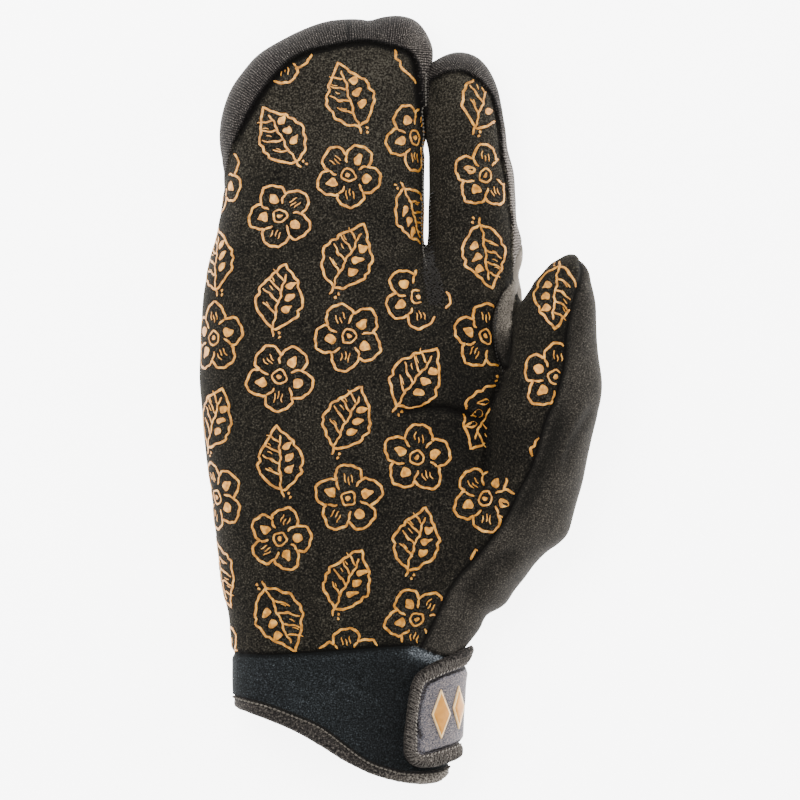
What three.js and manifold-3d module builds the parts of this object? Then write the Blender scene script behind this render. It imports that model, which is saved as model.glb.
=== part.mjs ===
// A right-hand three-compartment winter mitten lying on its back, palm up: one pocket for three
// fingers, one for the index finger and one for the thumb, with a neoprene cuff, a bound hem and
// a hook-and-loop wrist strap. Millimetres; +Y points to the fingertips, +X to the thumb and +Z
// out of the palm. The origin is under the middle of the mitten, on the surface it lies on.
//
// The soft form is a pillow-like field around an outline: it is zero on the surface and negative
// inside. The wall is the outer form less the same form shrunk by the wall's thickness, and the
// panels are cut from that wall along the seams.

import * as THREE from 'three';
import { mergeVertices } from 'three/addons/utils/BufferGeometryUtils.js';
import Module from 'manifold-3d';

const wasm = await Module();
wasm.setup();

const WALL = 2.4; // face fabric, fleece and lining together
const SEAM_GAP = 0.35; // clear space between two neighbouring pieces
const CROWN = 0.1; // share by which the middle of the palm stands over its rim
const CROWN_REACH = 34; // distance from the outline at which the crown is full
const THUMB_EDGE = 13.5; // radius of the thumb's rounded sides
const THUMB_ROOT_Y = -34; // where the thumb rises out of the palm
const BALL_BLEND = 9; // softness of the fold between palm and ball of the thumb
const SIDE_SEAM_Z = 9; // height of the palm-to-back seam along the little finger's side
const THUMB_SEAM_Z = 22; // height of the same seam under the thumb
const BINDING_PROUD = 0.9; // how far the hem binding stands over the cuff, on both faces
const STRAP_CLEAR = 1.1; // between the cuff and the strap laid round it
const STRAP_THICK = 3; // from the cuff's face to the strap's
const STRAP_RIM_PROUD = 0.7; // how far the strap's bound edge stands over its field
const STRAP_BINDING_WIDE = 4.6;
const EMBLEM_THICK = 0.7;
const CREASE_RADIUS = 2.4; // fold across the palm under the index finger
const CREASE_LIFT = 1.3; // how far the fold's centre line lies over the palm
const TOP_Z = 70; // above everything
const UNDER_Z = -12; // below everything

// Plan outline of the hand, from the cuff's left side round the fingertips to the thumb side.
// The mitten's own hem is cut later, so the outline runs on below it.
const HAND_OUTLINE = [
  { x: -57, y: -165 }, { x: -57, y: -125 }, { x: -57.2, y: -106 }, { x: -57.8, y: -92 },
  { x: -59.1, y: -75.4 }, { x: -61.6, y: -64 }, { x: -63.6, y: -45 }, { x: -65.4, y: -30.7 },
  { x: -67.4, y: -16 }, { x: -68.8, y: 3.3 }, { x: -68.9, y: 20.5 }, { x: -68.1, y: 33 },
  { x: -66.3, y: 44 }, { x: -63.2, y: 58.6 }, { x: -61.2, y: 70 }, { x: -60.6, y: 79 },
  { x: -61.4, y: 90 }, { x: -60.7, y: 98.8 }, { x: -57.7, y: 107 }, { x: -53.3, y: 113.3 },
  { x: -48.2, y: 118.9 }, { x: -41.1, y: 123.4 }, { x: -33.1, y: 127.5 }, { x: -23.6, y: 130.2 },
  { x: -14.5, y: 130.6 }, { x: -10.6, y: 130.2 }, { x: -5.8, y: 131.5 }, { x: 0, y: 131.8 },
  { x: 4.8, y: 130.6 }, { x: 7.8, y: 127.4 }, { x: 8.8, y: 121 }, { x: 8.6, y: 113 },
  { x: 8.3, y: 95 }, { x: 8.2, y: 75 }, { x: 8.3, y: 58 }, { x: 9.2, y: 52.4 },
  { x: 10.1, y: 58 }, { x: 10.2, y: 75 }, { x: 10.1, y: 95 }, { x: 10.1, y: 110 },
  { x: 11.4, y: 115.6 }, { x: 15, y: 118.2 }, { x: 20.2, y: 119.5 }, { x: 25, y: 118.5 },
  { x: 29, y: 115.2 }, { x: 32.2, y: 110 }, { x: 34.2, y: 104 }, { x: 35.4, y: 95 },
  { x: 36.2, y: 87 }, { x: 38.4, y: 79 }, { x: 39.5, y: 69 }, { x: 39.8, y: 62 },
  { x: 41.6, y: 55 }, { x: 42, y: 48.5 }, { x: 40.8, y: 43 }, { x: 41.6, y: 38 },
  { x: 41.4, y: 20 }, { x: 41.4, y: 0 }, { x: 42.4, y: -20 }, { x: 43.4, y: -38 },
  { x: 40.6, y: -55 }, { x: 34, y: -68.5 }, { x: 29.6, y: -73 }, { x: 28, y: -78 },
  { x: 21.6, y: -87 }, { x: 19.2, y: -93 }, { x: 18.2, y: -104 }, { x: 17.4, y: -118 },
  { x: 17, y: -128 }, { x: 17, y: -165 },
];

// Lowest and highest level of the hand along its length, and the radius of its rounded sides.
const HAND_LEVELS = [
  { y: -165, low: 4.6, high: 33.5, edge: 20 },
  { y: -128, low: 4.6, high: 33.5, edge: 20 },
  { y: -100, low: 4.6, high: 32.5, edge: 20 },
  { y: -84, low: 4.4, high: 33, edge: 20 },
  { y: -72, low: 1.6, high: 34, edge: 22 },
  { y: -58, low: -0.8, high: 35.4, edge: 23 },
  { y: -15, low: -1.1, high: 37, edge: 22 },
  { y: 35, low: -1.1, high: 34.5, edge: 18 },
  { y: 85, low: -1, high: 31.5, edge: 16 },
  { y: 135, low: -0.8, high: 28, edge: 15 },
];

// Plan outline of the thumb, round its tip and down to the ball of the thumb inside the palm.
const THUMB_OUTLINE = [
  { x: 58, y: 49.9 }, { x: 53, y: 47.6 }, { x: 49, y: 44.3 }, { x: 45.3, y: 38.5 },
  { x: 41.6, y: 31.2 }, { x: 38.6, y: 21.9 }, { x: 36.4, y: 12 }, { x: 31.6, y: -0.5 },
  { x: 29.3, y: -9 }, { x: 28.9, y: -18 }, { x: 28.4, y: -28 }, { x: 25, y: -42 },
  { x: 22, y: -56 }, { x: 25, y: -68 }, { x: 34.4, y: -69.4 }, { x: 38.8, y: -64.2 },
  { x: 50.4, y: -52.6 }, { x: 54.2, y: -50.1 }, { x: 57.8, y: -46.6 }, { x: 60, y: -39.8 },
  { x: 62.2, y: -30.9 }, { x: 65, y: -16.4 }, { x: 67.6, y: -4.7 }, { x: 69, y: 3.3 },
  { x: 69.1, y: 7.8 }, { x: 68.2, y: 16 }, { x: 66.9, y: 27.4 }, { x: 65.6, y: 39 },
  { x: 64, y: 45.6 }, { x: 61.6, y: 49 },
];

const THUMB_LEVELS = [
  { y: -80, low: 3, high: 31 },
  { y: -60, low: 1, high: 34 },
  { y: -40, low: 3, high: 38 },
  { y: -18, low: 9, high: 41.5 },
  { y: 6, low: 14.5, high: 43 },
  { y: 30, low: 18, high: 42.5 },
  { y: 55, low: 20.5, high: 41.5 },
];

// Seams on the palm side, in plan.
const TIP_BAND_SEAM = [
  { x: -66, y: 62 }, { x: -61.4, y: 72 }, { x: -58.4, y: 83.6 }, { x: -54.2, y: 94 },
  { x: -48.2, y: 104.6 }, { x: -42.6, y: 111.6 }, { x: -37.4, y: 116.6 }, { x: -31.8, y: 119.4 },
  { x: -24.2, y: 121.4 }, { x: -16.2, y: 123 }, { x: -8.3, y: 122.8 }, { x: -3, y: 121.4 },
  { x: 2.3, y: 120.2 }, { x: 4.9, y: 117.6 }, { x: 6.2, y: 112 }, { x: 6.9, y: 104 },
  { x: 8.6, y: 93 }, { x: 9.2, y: 86 },
];
const TIP_BAND_JOIN = [{ x: -17.4, y: 116 }, { x: -17.7, y: 140 }];
const INDEX_BAND_SEAM = [
  { x: 9.2, y: 104 }, { x: 11, y: 109.6 }, { x: 13.4, y: 111.6 }, { x: 17, y: 112.8 },
  { x: 21.6, y: 112.8 }, { x: 25.6, y: 111.2 }, { x: 28.6, y: 108.6 }, { x: 31.2, y: 105.8 },
  { x: 33, y: 101 }, { x: 34, y: 94 }, { x: 35, y: 84 }, { x: 37, y: 74 }, { x: 38.2, y: 64 },
  { x: 38.8, y: 56 }, { x: 38.7, y: 48 }, { x: 39.6, y: 41.6 }, { x: 44, y: 39.8 },
];
// Where the print ends: index finger's root, the web, round the thumb, and down to the cuff.
const WEB_SEAM = [
  { x: 42.8, y: 43.6 }, { x: 39.2, y: 41.2 }, { x: 34.2, y: 34.4 }, { x: 31.8, y: 26 },
  { x: 32.8, y: 18 }, { x: 36.1, y: 11.4 }, { x: 37.4, y: 21.9 }, { x: 38.6, y: 30 },
  { x: 40, y: 36 }, { x: 42.4, y: 39.6 }, { x: 47, y: 44.4 }, { x: 56, y: 56 },
];
const THUMB_SEAM = [
  { x: 62, y: 56 }, { x: 62.2, y: 48.6 }, { x: 62.4, y: 43.4 }, { x: 60, y: 35.4 },
  { x: 57.2, y: 23.3 }, { x: 55.9, y: 11.6 }, { x: 52.4, y: -1.2 }, { x: 50, y: -6.4 },
  { x: 48, y: -12.9 }, { x: 44.5, y: -24 }, { x: 40.7, y: -30.9 }, { x: 38, y: -36.7 },
  { x: 34.8, y: -42.3 }, { x: 26.7, y: -53.2 }, { x: 18.3, y: -63.3 }, { x: 13.4, y: -73 },
  { x: 8.1, y: -83.8 }, { x: 3, y: -92 },
];
const CUFF_SEAM = [
  { x: -75, y: -87.6 }, { x: -57.6, y: -87.1 }, { x: -44.2, y: -87.2 }, { x: -24.8, y: -86 },
  { x: -8, y: -84.8 }, { x: 3, y: -84.2 }, { x: 7, y: -84.6 }, { x: 13, y: -87.2 },
  { x: 20, y: -88.6 }, { x: 30, y: -88.6 },
];
const BINDING_TOP = [
  { x: -75, y: -98 }, { x: -56.8, y: -101.2 }, { x: -45.9, y: -103.5 }, { x: -36, y: -107.1 },
  { x: -26.8, y: -111.1 }, { x: -16.9, y: -118.4 }, { x: -10.9, y: -122.6 },
  { x: -3, y: -125.6 }, { x: 3.5, y: -126.9 }, { x: 13.5, y: -126.5 }, { x: 17.8, y: -124.6 },
  { x: 30, y: -118 },
];
const HEM = [
  { x: -75, y: -103 }, { x: -56.8, y: -106.6 }, { x: -49.9, y: -109 }, { x: -37.3, y: -114.2 },
  { x: -28.1, y: -119.3 }, { x: -18.8, y: -124.8 }, { x: -9.7, y: -128.7 }, { x: 0, y: -131.3 },
  { x: 6.9, y: -131.8 }, { x: 13.5, y: -130.6 }, { x: 17.4, y: -127.8 }, { x: 30, y: -121 },
];
const PALM_CREASE = [
  { x: -5, y: -6.4 }, { x: 6, y: -3 }, { x: 16, y: -2.4 }, { x: 24.5, y: -5.6 }, { x: 29, y: -8.4 },
];

// The strap's outline on the palm side, and on the back, where it is sewn down.
const STRAP_PALM = [
  { x: 40, y: -80.6 }, { x: 24.4, y: -85.6 }, { x: 16.8, y: -88 }, { x: 9.6, y: -90.7 },
  { x: 4.9, y: -94.6 }, { x: 3.3, y: -99.6 }, { x: 2, y: -109 }, { x: 1.5, y: -117.4 },
  { x: 2.8, y: -122.8 }, { x: 6.2, y: -125.8 }, { x: 11, y: -126.2 }, { x: 17.5, y: -124.7 },
  { x: 21, y: -123.4 }, { x: 40, y: -119 },
];
const STRAP_BACK = [
  { x: 40, y: -80.6 }, { x: 24.4, y: -85.6 }, { x: 8, y: -87.4 }, { x: -19, y: -88 },
  { x: -23, y: -91 }, { x: -24.6, y: -99 }, { x: -23.4, y: -106.6 }, { x: -18, y: -112 },
  { x: -6, y: -119 }, { x: 8, y: -123 }, { x: 21, y: -123.4 }, { x: 40, y: -119 },
];
const EMBLEM = [
  { x: 14, y: -107.4, halfWidth: 3.2, halfHeight: 8.6 },
  { x: 20, y: -105.4, halfWidth: 2, halfHeight: 7.6 },
];

// Points along a curve through the rows, about `spacing` apart.
function smoothCurve(rows, spacing, closed = false) {
  const knots = rows.map((row) => new THREE.Vector3(row.x, row.y, 0));
  const curve = new THREE.CatmullRomCurve3(knots, closed, 'centripetal');
  const points = curve.getSpacedPoints(Math.round(curve.getLength() / spacing));
  if (closed) points.pop();
  return points.map((point) => new THREE.Vector2(point.x, point.y));
}

// A table's value at y, by cubic interpolation between its rows.
function levelAt(table, key, y) {
  const last = table.length - 1;
  let i = table.findIndex((row) => row.y > y) - 1;
  if (i === -2) return table[last][key];
  i = Math.max(i, 0);
  const row = (n) => table[Math.min(Math.max(n, 0), last)];
  const slope = (n) => (row(n + 1)[key] - row(n - 1)[key]) / (row(n + 1).y - row(n - 1).y);
  const span = row(i + 1).y - row(i).y;
  const t = THREE.MathUtils.clamp((y - row(i).y) / span, 0, 1);
  return (1 + 2 * t) * (1 - t) ** 2 * row(i)[key] + t * (1 - t) ** 2 * span * slope(i)
    + t * t * (3 - 2 * t) * row(i + 1)[key] - t * t * (1 - t) * span * slope(i + 1);
}

// Distance from (x, y) to a closed outline, positive inside it.
function insideDistance(outline, x, y) {
  let nearest = Infinity;
  let inside = false;
  for (let i = 0, j = outline.length - 1; i < outline.length; j = i, i += 1) {
    const a = outline[j];
    const b = outline[i];
    const [dx, dy] = [b.x - a.x, b.y - a.y];
    const t = THREE.MathUtils.clamp(((x - a.x) * dx + (y - a.y) * dy) / (dx * dx + dy * dy), 0, 1);
    nearest = Math.min(nearest, Math.hypot(x - a.x - t * dx, y - a.y - t * dy));
    if (a.y > y !== b.y > y && x < a.x + ((y - a.y) * dx) / dy) inside = !inside;
  }
  return inside ? nearest : -nearest;
}

// The field of a pillow with rounded sides, shrunk by inset.
function pillow(distance, z, low, high, edge, inset) {
  const half = (high - low) / 2 - inset;
  const crown = 1 + CROWN * (THREE.MathUtils.smoothstep(distance, edge / 2, CROWN_REACH) - 1);
  const rim = Math.max(1 - (distance - inset) / (edge - inset), 0);
  return (Math.hypot(rim, (z - (high + low) / 2) / (half * crown)) - 1) * half;
}

const handOutline = smoothCurve(HAND_OUTLINE, 3, true);
const thumbOutline = smoothCurve(THUMB_OUTLINE, 3, true);

function handForm(x, y, z, inset) {
  const indexShare = THREE.MathUtils.smoothstep(x, 9, 12) * THREE.MathUtils.smoothstep(y, 30, 56);
  const edge = THREE.MathUtils.lerp(levelAt(HAND_LEVELS, 'edge', y), 14.5, indexShare);
  const high = levelAt(HAND_LEVELS, 'high', y) - 2 * indexShare;
  const low = levelAt(HAND_LEVELS, 'low', y);
  return pillow(insideDistance(handOutline, x, y), z, low, high, edge, inset);
}

function thumbForm(x, y, z, inset) {
  const low = levelAt(THUMB_LEVELS, 'low', y);
  const high = levelAt(THUMB_LEVELS, 'high', y);
  return pillow(insideDistance(thumbOutline, x, y), z, low, high, THUMB_EDGE, inset);
}

// The hand with the ball of the thumb flowing out of it. The thumb itself, a second body, takes
// over above THUMB_ROOT_Y and fades out below it, inside this one.
function palmForm(x, y, z, inset = 0) {
  const hand = handForm(x, y, z, inset);
  const ball = thumbForm(x, y, z, inset) + Math.max(y - THUMB_ROOT_Y, 0) / 2;
  const overlap = Math.max(BALL_BLEND - Math.abs(hand - ball), 0) / BALL_BLEND;
  return Math.min(hand, ball) - (overlap * overlap * BALL_BLEND) / 4;
}

const risingThumbForm = (x, y, z, inset) =>
  thumbForm(x, y, z, inset) + Math.max(THUMB_ROOT_Y - y, 0) / 2;

// Height of the seam between the printed palm side and the plain back.
function sideSeamZ(x, y) {
  const { smoothstep, lerp } = THREE.MathUtils;
  const thumbSide = smoothstep(x, 20, 36) * smoothstep(y, -60, -10);
  const aboveWeb = smoothstep(y, 48, 60) * (1 - smoothstep(x, 42, 46));
  return lerp(SIDE_SEAM_Z, THUMB_SEAM_Z, thumbSide * (1 - aboveWeb));
}

function lines(low, high, step) {
  const count = Math.round((high - low) / step);
  return Array.from({ length: count + 1 }, (_, i) => low + ((high - low) * i) / count);
}

// Moves a point onto the surface of a field, along its slope.
function settle(field, point) {
  const e = 0.05;
  for (let pass = 0; pass < 3; pass += 1) {
    const [x, y, z] = point;
    const slope = [
      field(x + e, y, z) - field(x - e, y, z),
      field(x, y + e, z) - field(x, y - e, z),
      field(x, y, z + e) - field(x, y, z - e),
    ].map((rise) => rise / (2 * e));
    const steep = slope[0] ** 2 + slope[1] ** 2 + slope[2] ** 2;
    const move = THREE.MathUtils.clamp(field(x, y, z) / Math.max(steep, 0.2), -1, 1);
    point = point.map((value, axis) => value - move * slope[axis]);
  }
  return point;
}

// A closed mesh of the field's zero surface: one vertex in each grid cell that it crosses.
function meshField(field, axes) {
  const size = axes.map((axis) => axis.length);
  const index = (c) => (c[0] * size[1] + c[1]) * size[2] + c[2];
  const value = new Float32Array(size[0] * size[1] * size[2]);
  const everyCorner = function* (trim) {
    for (let i = trim; i < size[0] - 1; i += 1)
      for (let j = trim; j < size[1] - 1; j += 1)
        for (let k = trim; k < size[2] - 1; k += 1) yield [i, j, k];
  };
  for (const c of everyCorner(1)) value[index(c)] = field(axes[0][c[0]], axes[1][c[1]], axes[2][c[2]]);
  const bounded = (c) => c.every((n, axis) => n > 0 && n < size[axis] - 1);
  const at = (c) => (bounded(c) ? value[index(c)] : 1);

  const positions = [];
  const vertexOf = new Map();
  for (const cell of everyCorner(0)) {
    const total = [0, 0, 0];
    let crossings = 0;
    for (let axis = 0; axis < 3; axis += 1)
      for (let side = 0; side < 4; side += 1) {
        const a = [...cell];
        a[(axis + 1) % 3] += side & 1;
        a[(axis + 2) % 3] += side >> 1;
        const b = [...a];
        b[axis] += 1;
        const [va, vb] = [at(a), at(b)];
        if (va < 0 === vb < 0) continue;
        const t = va / (va - vb);
        for (let n = 0; n < 3; n += 1)
          total[n] += THREE.MathUtils.lerp(axes[n][a[n]], axes[n][b[n]], t);
        crossings += 1;
      }
    if (!crossings) continue;
    vertexOf.set(index(cell), positions.length / 3);
    positions.push(...settle(field, total.map((sum) => sum / crossings)));
  }

  const faces = [];
  const corner = (n) => new THREE.Vector3(...positions.slice(3 * n, 3 * n + 3));
  for (const a of everyCorner(0))
    for (let axis = 0; axis < 3; axis += 1) {
      const b = [...a];
      b[axis] += 1;
      if (at(a) < 0 === at(b) < 0) continue;
      const quad = [[1, 1], [0, 1], [0, 0], [1, 0]].map(([down, left]) => {
        const cell = [...a];
        cell[(axis + 1) % 3] -= down;
        cell[(axis + 2) % 3] -= left;
        return vertexOf.get(index(cell));
      });
      if (at(a) > at(b)) quad.reverse();
      const [p, q, r, s] = quad;
      const shortFirst = corner(p).distanceTo(corner(r)) <= corner(q).distanceTo(corner(s));
      faces.push(...(shortFirst ? [p, q, r, p, r, s] : [q, r, s, q, s, p]));
    }
  const geometry = new THREE.BufferGeometry();
  geometry.setAttribute('position', new THREE.Float32BufferAttribute(positions, 3));
  geometry.setIndex(faces);
  return geometry;
}

function solidOf(geometry) {
  const bare = geometry.clone();
  bare.deleteAttribute('normal');
  bare.deleteAttribute('uv');
  const merged = mergeVertices(bare, 1e-4);
  const vertProperties = merged.attributes.position.array;
  return new wasm.Manifold(
    new wasm.Mesh({ numProp: 3, vertProperties, triVerts: new Uint32Array(merged.index.array) }),
  );
}

function prism(points, low = UNDER_Z, high = TOP_Z) {
  const geometry = new THREE.ExtrudeGeometry(new THREE.Shape(points), {
    depth: high - low,
    bevelEnabled: false,
  });
  return solidOf(geometry.translate(0, 0, low));
}

// An upright wall of the given width along a curve in plan.
function curtain(points, width) {
  const side = (sign) => points.map((point, i) => {
    const before = points[Math.max(i - 1, 0)];
    const after = points[Math.min(i + 1, points.length - 1)];
    const along = after.clone().sub(before).normalize();
    return new THREE.Vector2(point.x - sign * along.y, point.y + sign * along.x)
      .sub(point).multiplyScalar(width / 2).add(point);
  });
  return prism([...side(1), ...side(-1).reverse()], UNDER_Z - 2, TOP_Z + 2);
}

// Everything above the palm-to-back seam, with its underside shifted by `shift`.
function blockAboveSideSeam(shift) {
  const block = new THREE.BoxGeometry(170, 310, TOP_Z, 20, 30, 1);
  const place = block.attributes.position;
  for (let i = 0; i < place.count; i += 1) {
    const underside = sideSeamZ(place.getX(i), place.getY(i)) + shift;
    place.setZ(i, place.getZ(i) < 0 ? underside : TOP_Z + 4);
  }
  return solidOf(block);
}

const wristAxes = [
  lines(-66, 32, 7.5),
  [-142, -128, -114, -103, -95, -89.5, -85, -80.5, -76],
  lines(-2, 44, 5.6),
];
const wristForm = (inset) =>
  solidOf(meshField((x, y, z) => palmForm(x, y, z, inset), wristAxes));

// The whole wall, hollow from the cuff to the fingertips, flat where it lies on the surface.
function makeWall() {
  const form = (inset, step) => {
    const slit = [8.5, 9.2, 9.9];
    const wrist = [-176, -146, -128, -114, -103, -95, -89.5, -85, -80.5];
    const palm = [
      [...lines(-75, 6.8, step), ...slit, ...lines(11.6, 75, step)],
      [...wrist, ...lines(-75, 138, 1.2 * step)],
      lines(-6, 48, 0.9 * step),
    ];
    const thumb = [lines(18, 75, step), lines(-72, 56, 1.2 * step), lines(-2, 50, 0.9 * step)];
    return solidOf(meshField((x, y, z) => palmForm(x, y, z, inset), palm))
      .add(solidOf(meshField((x, y, z) => risingThumbForm(x, y, z, inset), thumb)));
  };
  const over = (level) => prism(rectangle(-100, -200, 100, 200), level, TOP_Z);
  return form(0, 7.8).intersect(over(0)).subtract(form(WALL, 10.2).intersect(over(WALL)));
}

function rectangle(left, bottom, right, top) {
  return [[left, bottom], [right, bottom], [right, top], [left, top]]
    .map(([x, y]) => new THREE.Vector2(x, y));
}

const point = (x, y) => new THREE.Vector2(x, y);
const zoneBelow = (curve) => prism([...curve, point(40, -190), point(-80, -190)]);
const grown = (zone, seam) => zone.add(curtain(seam, 2 * SEAM_GAP));

// A shell that follows the wrist between two distances outside its surface.
const wristLayer = (inner, outer) => wristForm(-outer).subtract(wristForm(-inner));

const webSeam = smoothCurve(WEB_SEAM, 3.5);
const thumbSeam = smoothCurve(THUMB_SEAM, 5);
const cuffSeam = smoothCurve(CUFF_SEAM, 8);
const bindingTop = smoothCurve(BINDING_TOP, 5);
const hem = smoothCurve(HEM, 5);
const tipBandSeam = smoothCurve(TIP_BAND_SEAM, 5);
const indexBandSeam = smoothCurve(INDEX_BAND_SEAM, 5);
const tipBandJoin = TIP_BAND_JOIN.map(({ x, y }) => point(x, y));

// The printed side and both ribbed bands in plan: left of the thumb's seam, outside the web.
const frontEdge = [
  point(-80, -110), point(-80, 145), point(50, 145), point(50, 60), ...webSeam,
  ...thumbSeam, point(-2, -110),
];
const frontSeams = curtain([point(50, 60), ...webSeam], 2 * SEAM_GAP)
  .add(curtain(thumbSeam, 2 * SEAM_GAP));
const tipBandZone = prism([...tipBandSeam, point(9.2, 145), point(-80, 145), point(-80, 62)]);
const indexBandZone = prism([
  ...indexBandSeam, point(44.5, 50), point(50, 62), point(50, 145), point(9.2, 145),
]);

const wall = makeWall();
const hand = wall.subtract(grown(zoneBelow(cuffSeam), cuffSeam));
const front = hand.intersect(prism(frontEdge)).intersect(blockAboveSideSeam(SEAM_GAP / 2));

function palmCrease() {
  const topOf = ({ x, y }) => {
    let [low, high] = [15, 50];
    while (high - low > 0.01) {
      const middle = (low + high) / 2;
      if (palmForm(x, y, middle) < 0) low = middle;
      else high = middle;
    }
    return low;
  };
  const path = new THREE.CatmullRomCurve3(
    PALM_CREASE.map((row) => new THREE.Vector3(row.x, row.y, topOf(row) + CREASE_LIFT)),
  );
  const section = new THREE.Shape().absarc(0, 0, CREASE_RADIUS, 0, 2 * Math.PI);
  return solidOf(new THREE.ExtrudeGeometry(section, { extrudePath: path, steps: 12, curveSegments: 5 }));
}

function makePalm() {
  return front
    .subtract(grown(tipBandZone, tipBandSeam))
    .subtract(grown(indexBandZone, indexBandSeam))
    .subtract(palmCrease());
}

function makeTipBand(outer) {
  const half = prism([...tipBandJoin, ...(outer
    ? [point(-90, 140), point(-90, 50), point(-17.4, 50)]
    : [point(9.2, 140), point(9.2, 50), point(-17.4, 50)])]);
  return front.intersect(tipBandZone).intersect(half).subtract(curtain(tipBandJoin, SEAM_GAP));
}

function makeBack() {
  const frontGrown = prism(frontEdge).add(frontSeams).intersect(blockAboveSideSeam(-SEAM_GAP / 2));
  return hand.subtract(frontGrown);
}

function makeCuff() {
  return wall.intersect(zoneBelow(cuffSeam)).subtract(grown(zoneBelow(bindingTop), bindingTop));
}

function makeHemBinding() {
  return wristForm(-BINDING_PROUD)
    .subtract(wristForm(WALL + BINDING_PROUD))
    .intersect(zoneBelow(bindingTop))
    .subtract(zoneBelow(hem));
}

// The strap's outline in space: one outline over the palm side, the other under the back.
function strapZone(inset) {
  const side = (rows, low, high) => {
    const outline = smoothCurve(rows, 3);
    const zone = prism(outline, low, high);
    return inset ? zone.subtract(curtain(outline, 2 * inset)) : zone;
  };
  return side(STRAP_PALM, 18.9, TOP_Z)
    .add(side(STRAP_BACK, UNDER_Z, 19))
    .subtract(grown(zoneBelow(bindingTop), bindingTop));
}

function makeStrapTab() {
  return wristLayer(STRAP_CLEAR, STRAP_THICK).intersect(strapZone(STRAP_BINDING_WIDE + SEAM_GAP));
}

function makeStrapBinding() {
  return wristLayer(STRAP_CLEAR, STRAP_THICK + STRAP_RIM_PROUD)
    .intersect(strapZone(0))
    .subtract(strapZone(STRAP_BINDING_WIDE));
}

function makeEmblem({ x, y, halfWidth, halfHeight }) {
  const lozenge = [
    point(x - halfWidth, y), point(x, y - halfHeight), point(x + halfWidth, y), point(x, y + halfHeight),
  ];
  const low = STRAP_THICK + SEAM_GAP;
  return wristLayer(low, low + EMBLEM_THICK).intersect(prism(lozenge, 19, TOP_Z));
}

function mesh(name, solid, material) {
  const { numProp, vertProperties, triVerts } = solid.getMesh();
  const geometry = new THREE.BufferGeometry();
  const interleaved = new THREE.InterleavedBuffer(vertProperties, numProp);
  geometry.setAttribute('position', new THREE.InterleavedBufferAttribute(interleaved, 3, 0));
  geometry.setIndex(new THREE.BufferAttribute(triVerts, 1));
  const made = new THREE.Mesh(geometry.toNonIndexed(), material);
  made.geometry.computeVertexNormals();
  made.name = name;
  return made;
}

const cloth = (color, roughness) => new THREE.MeshStandardMaterial({ color, roughness, metalness: 0 });
const suede = cloth(0x2b2923, 0.95);
const softshell = cloth(0x3b3935, 0.85);
const ribbedKnit = cloth(0x4b4744, 0.9);
const neoprene = cloth(0x26282c, 0.9);
const bindingTape = cloth(0x3a3734, 0.9);
const strapFace = cloth(0x5f5a5b, 0.85);
const rubberPrint = cloth(0xd6a868, 0.5);

const mitten = new THREE.Group();
mitten.add(
  mesh('palm_panel', makePalm(), suede),
  mesh('back_shell', makeBack(), softshell),
  mesh('tip_band_outer', makeTipBand(true), ribbedKnit),
  mesh('tip_band_inner', makeTipBand(false), ribbedKnit),
  mesh('index_band', front.intersect(indexBandZone), ribbedKnit),
  mesh('cuff', makeCuff(), neoprene),
  mesh('hem_binding', makeHemBinding(), bindingTape),
  mesh('strap_tab', makeStrapTab(), strapFace),
  mesh('strap_binding', makeStrapBinding(), bindingTape),
  ...EMBLEM.map((row, i) => mesh(`emblem_lozenge_${i + 1}`, makeEmblem(row), rubberPrint)),
);

export default mitten;
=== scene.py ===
"""Looks of a right-hand split-finger winter mitten that lies on its back, palm up.

Shapes are worked out in millimetres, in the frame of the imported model: +Y to the fingertips,
+X to the thumb's side, +Z out of the palm, z = 0 on the surface that the mitten lies on.
"""

import logging
import math
from dataclasses import dataclass, field
from enum import Enum
from typing import Callable

import bpy
import numpy as np
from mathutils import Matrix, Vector


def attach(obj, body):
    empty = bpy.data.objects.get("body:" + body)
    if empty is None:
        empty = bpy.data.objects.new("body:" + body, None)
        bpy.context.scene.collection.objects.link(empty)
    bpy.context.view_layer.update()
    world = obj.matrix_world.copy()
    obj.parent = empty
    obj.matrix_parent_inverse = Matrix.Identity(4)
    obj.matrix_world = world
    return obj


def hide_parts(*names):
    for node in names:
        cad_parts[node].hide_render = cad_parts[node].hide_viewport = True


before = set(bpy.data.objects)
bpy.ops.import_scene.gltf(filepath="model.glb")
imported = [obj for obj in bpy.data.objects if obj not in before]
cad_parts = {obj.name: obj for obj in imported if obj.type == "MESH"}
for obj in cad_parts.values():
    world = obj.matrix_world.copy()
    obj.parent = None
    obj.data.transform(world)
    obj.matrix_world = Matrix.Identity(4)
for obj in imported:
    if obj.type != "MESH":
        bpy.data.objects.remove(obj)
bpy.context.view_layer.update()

LOG = logging.getLogger("mitten")
MM = 0.001
Array = np.ndarray
Tree = bpy.types.NodeTree
Socket = bpy.types.NodeSocket
Stops = tuple[tuple[float, str], ...]
# Where the slit between the pocket and the index finger runs.
SLIT_X = 9.2
# Edges of a mesh that turn by less than this are shaded smooth.
SMOOTH_BELOW_DEG = 50.0
# How thick a thread is at its ends, as a share of its middle.
THREAD_END = 0.45
TINY = 1e-9


# Vectors, curves and fields in plan


def unit(vectors: Array) -> Array:
    """The vectors at length 1."""
    return vectors / np.maximum(np.linalg.norm(vectors, axis=-1, keepdims=True), TINY)


def square_to(vectors: Array, axes: Array) -> Array:
    """The vectors turned square to an axis each, at length 1."""
    return unit(vectors - (vectors * axes).sum(axis=-1, keepdims=True) * axes)


def polar(radius: Array | float, angle: Array) -> Array:
    """Points in plan from their distance to the centre and their angle."""
    return np.column_stack([radius * np.cos(angle), radius * np.sin(angle)])


def smoothstep(low: float, high: float, value: Array) -> Array:
    """Rises smoothly from 0 at low to 1 at high.

    Args:
        low: value where the rise starts.
        high: value where it ends, which may be the smaller one for a fall.
        value: where to read it.

    Returns:
        The rise, from 0 to 1.
    """
    t = np.clip((value - low) / (high - low), 0.0, 1.0)
    return t * t * (3.0 - 2.0 * t)


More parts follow.
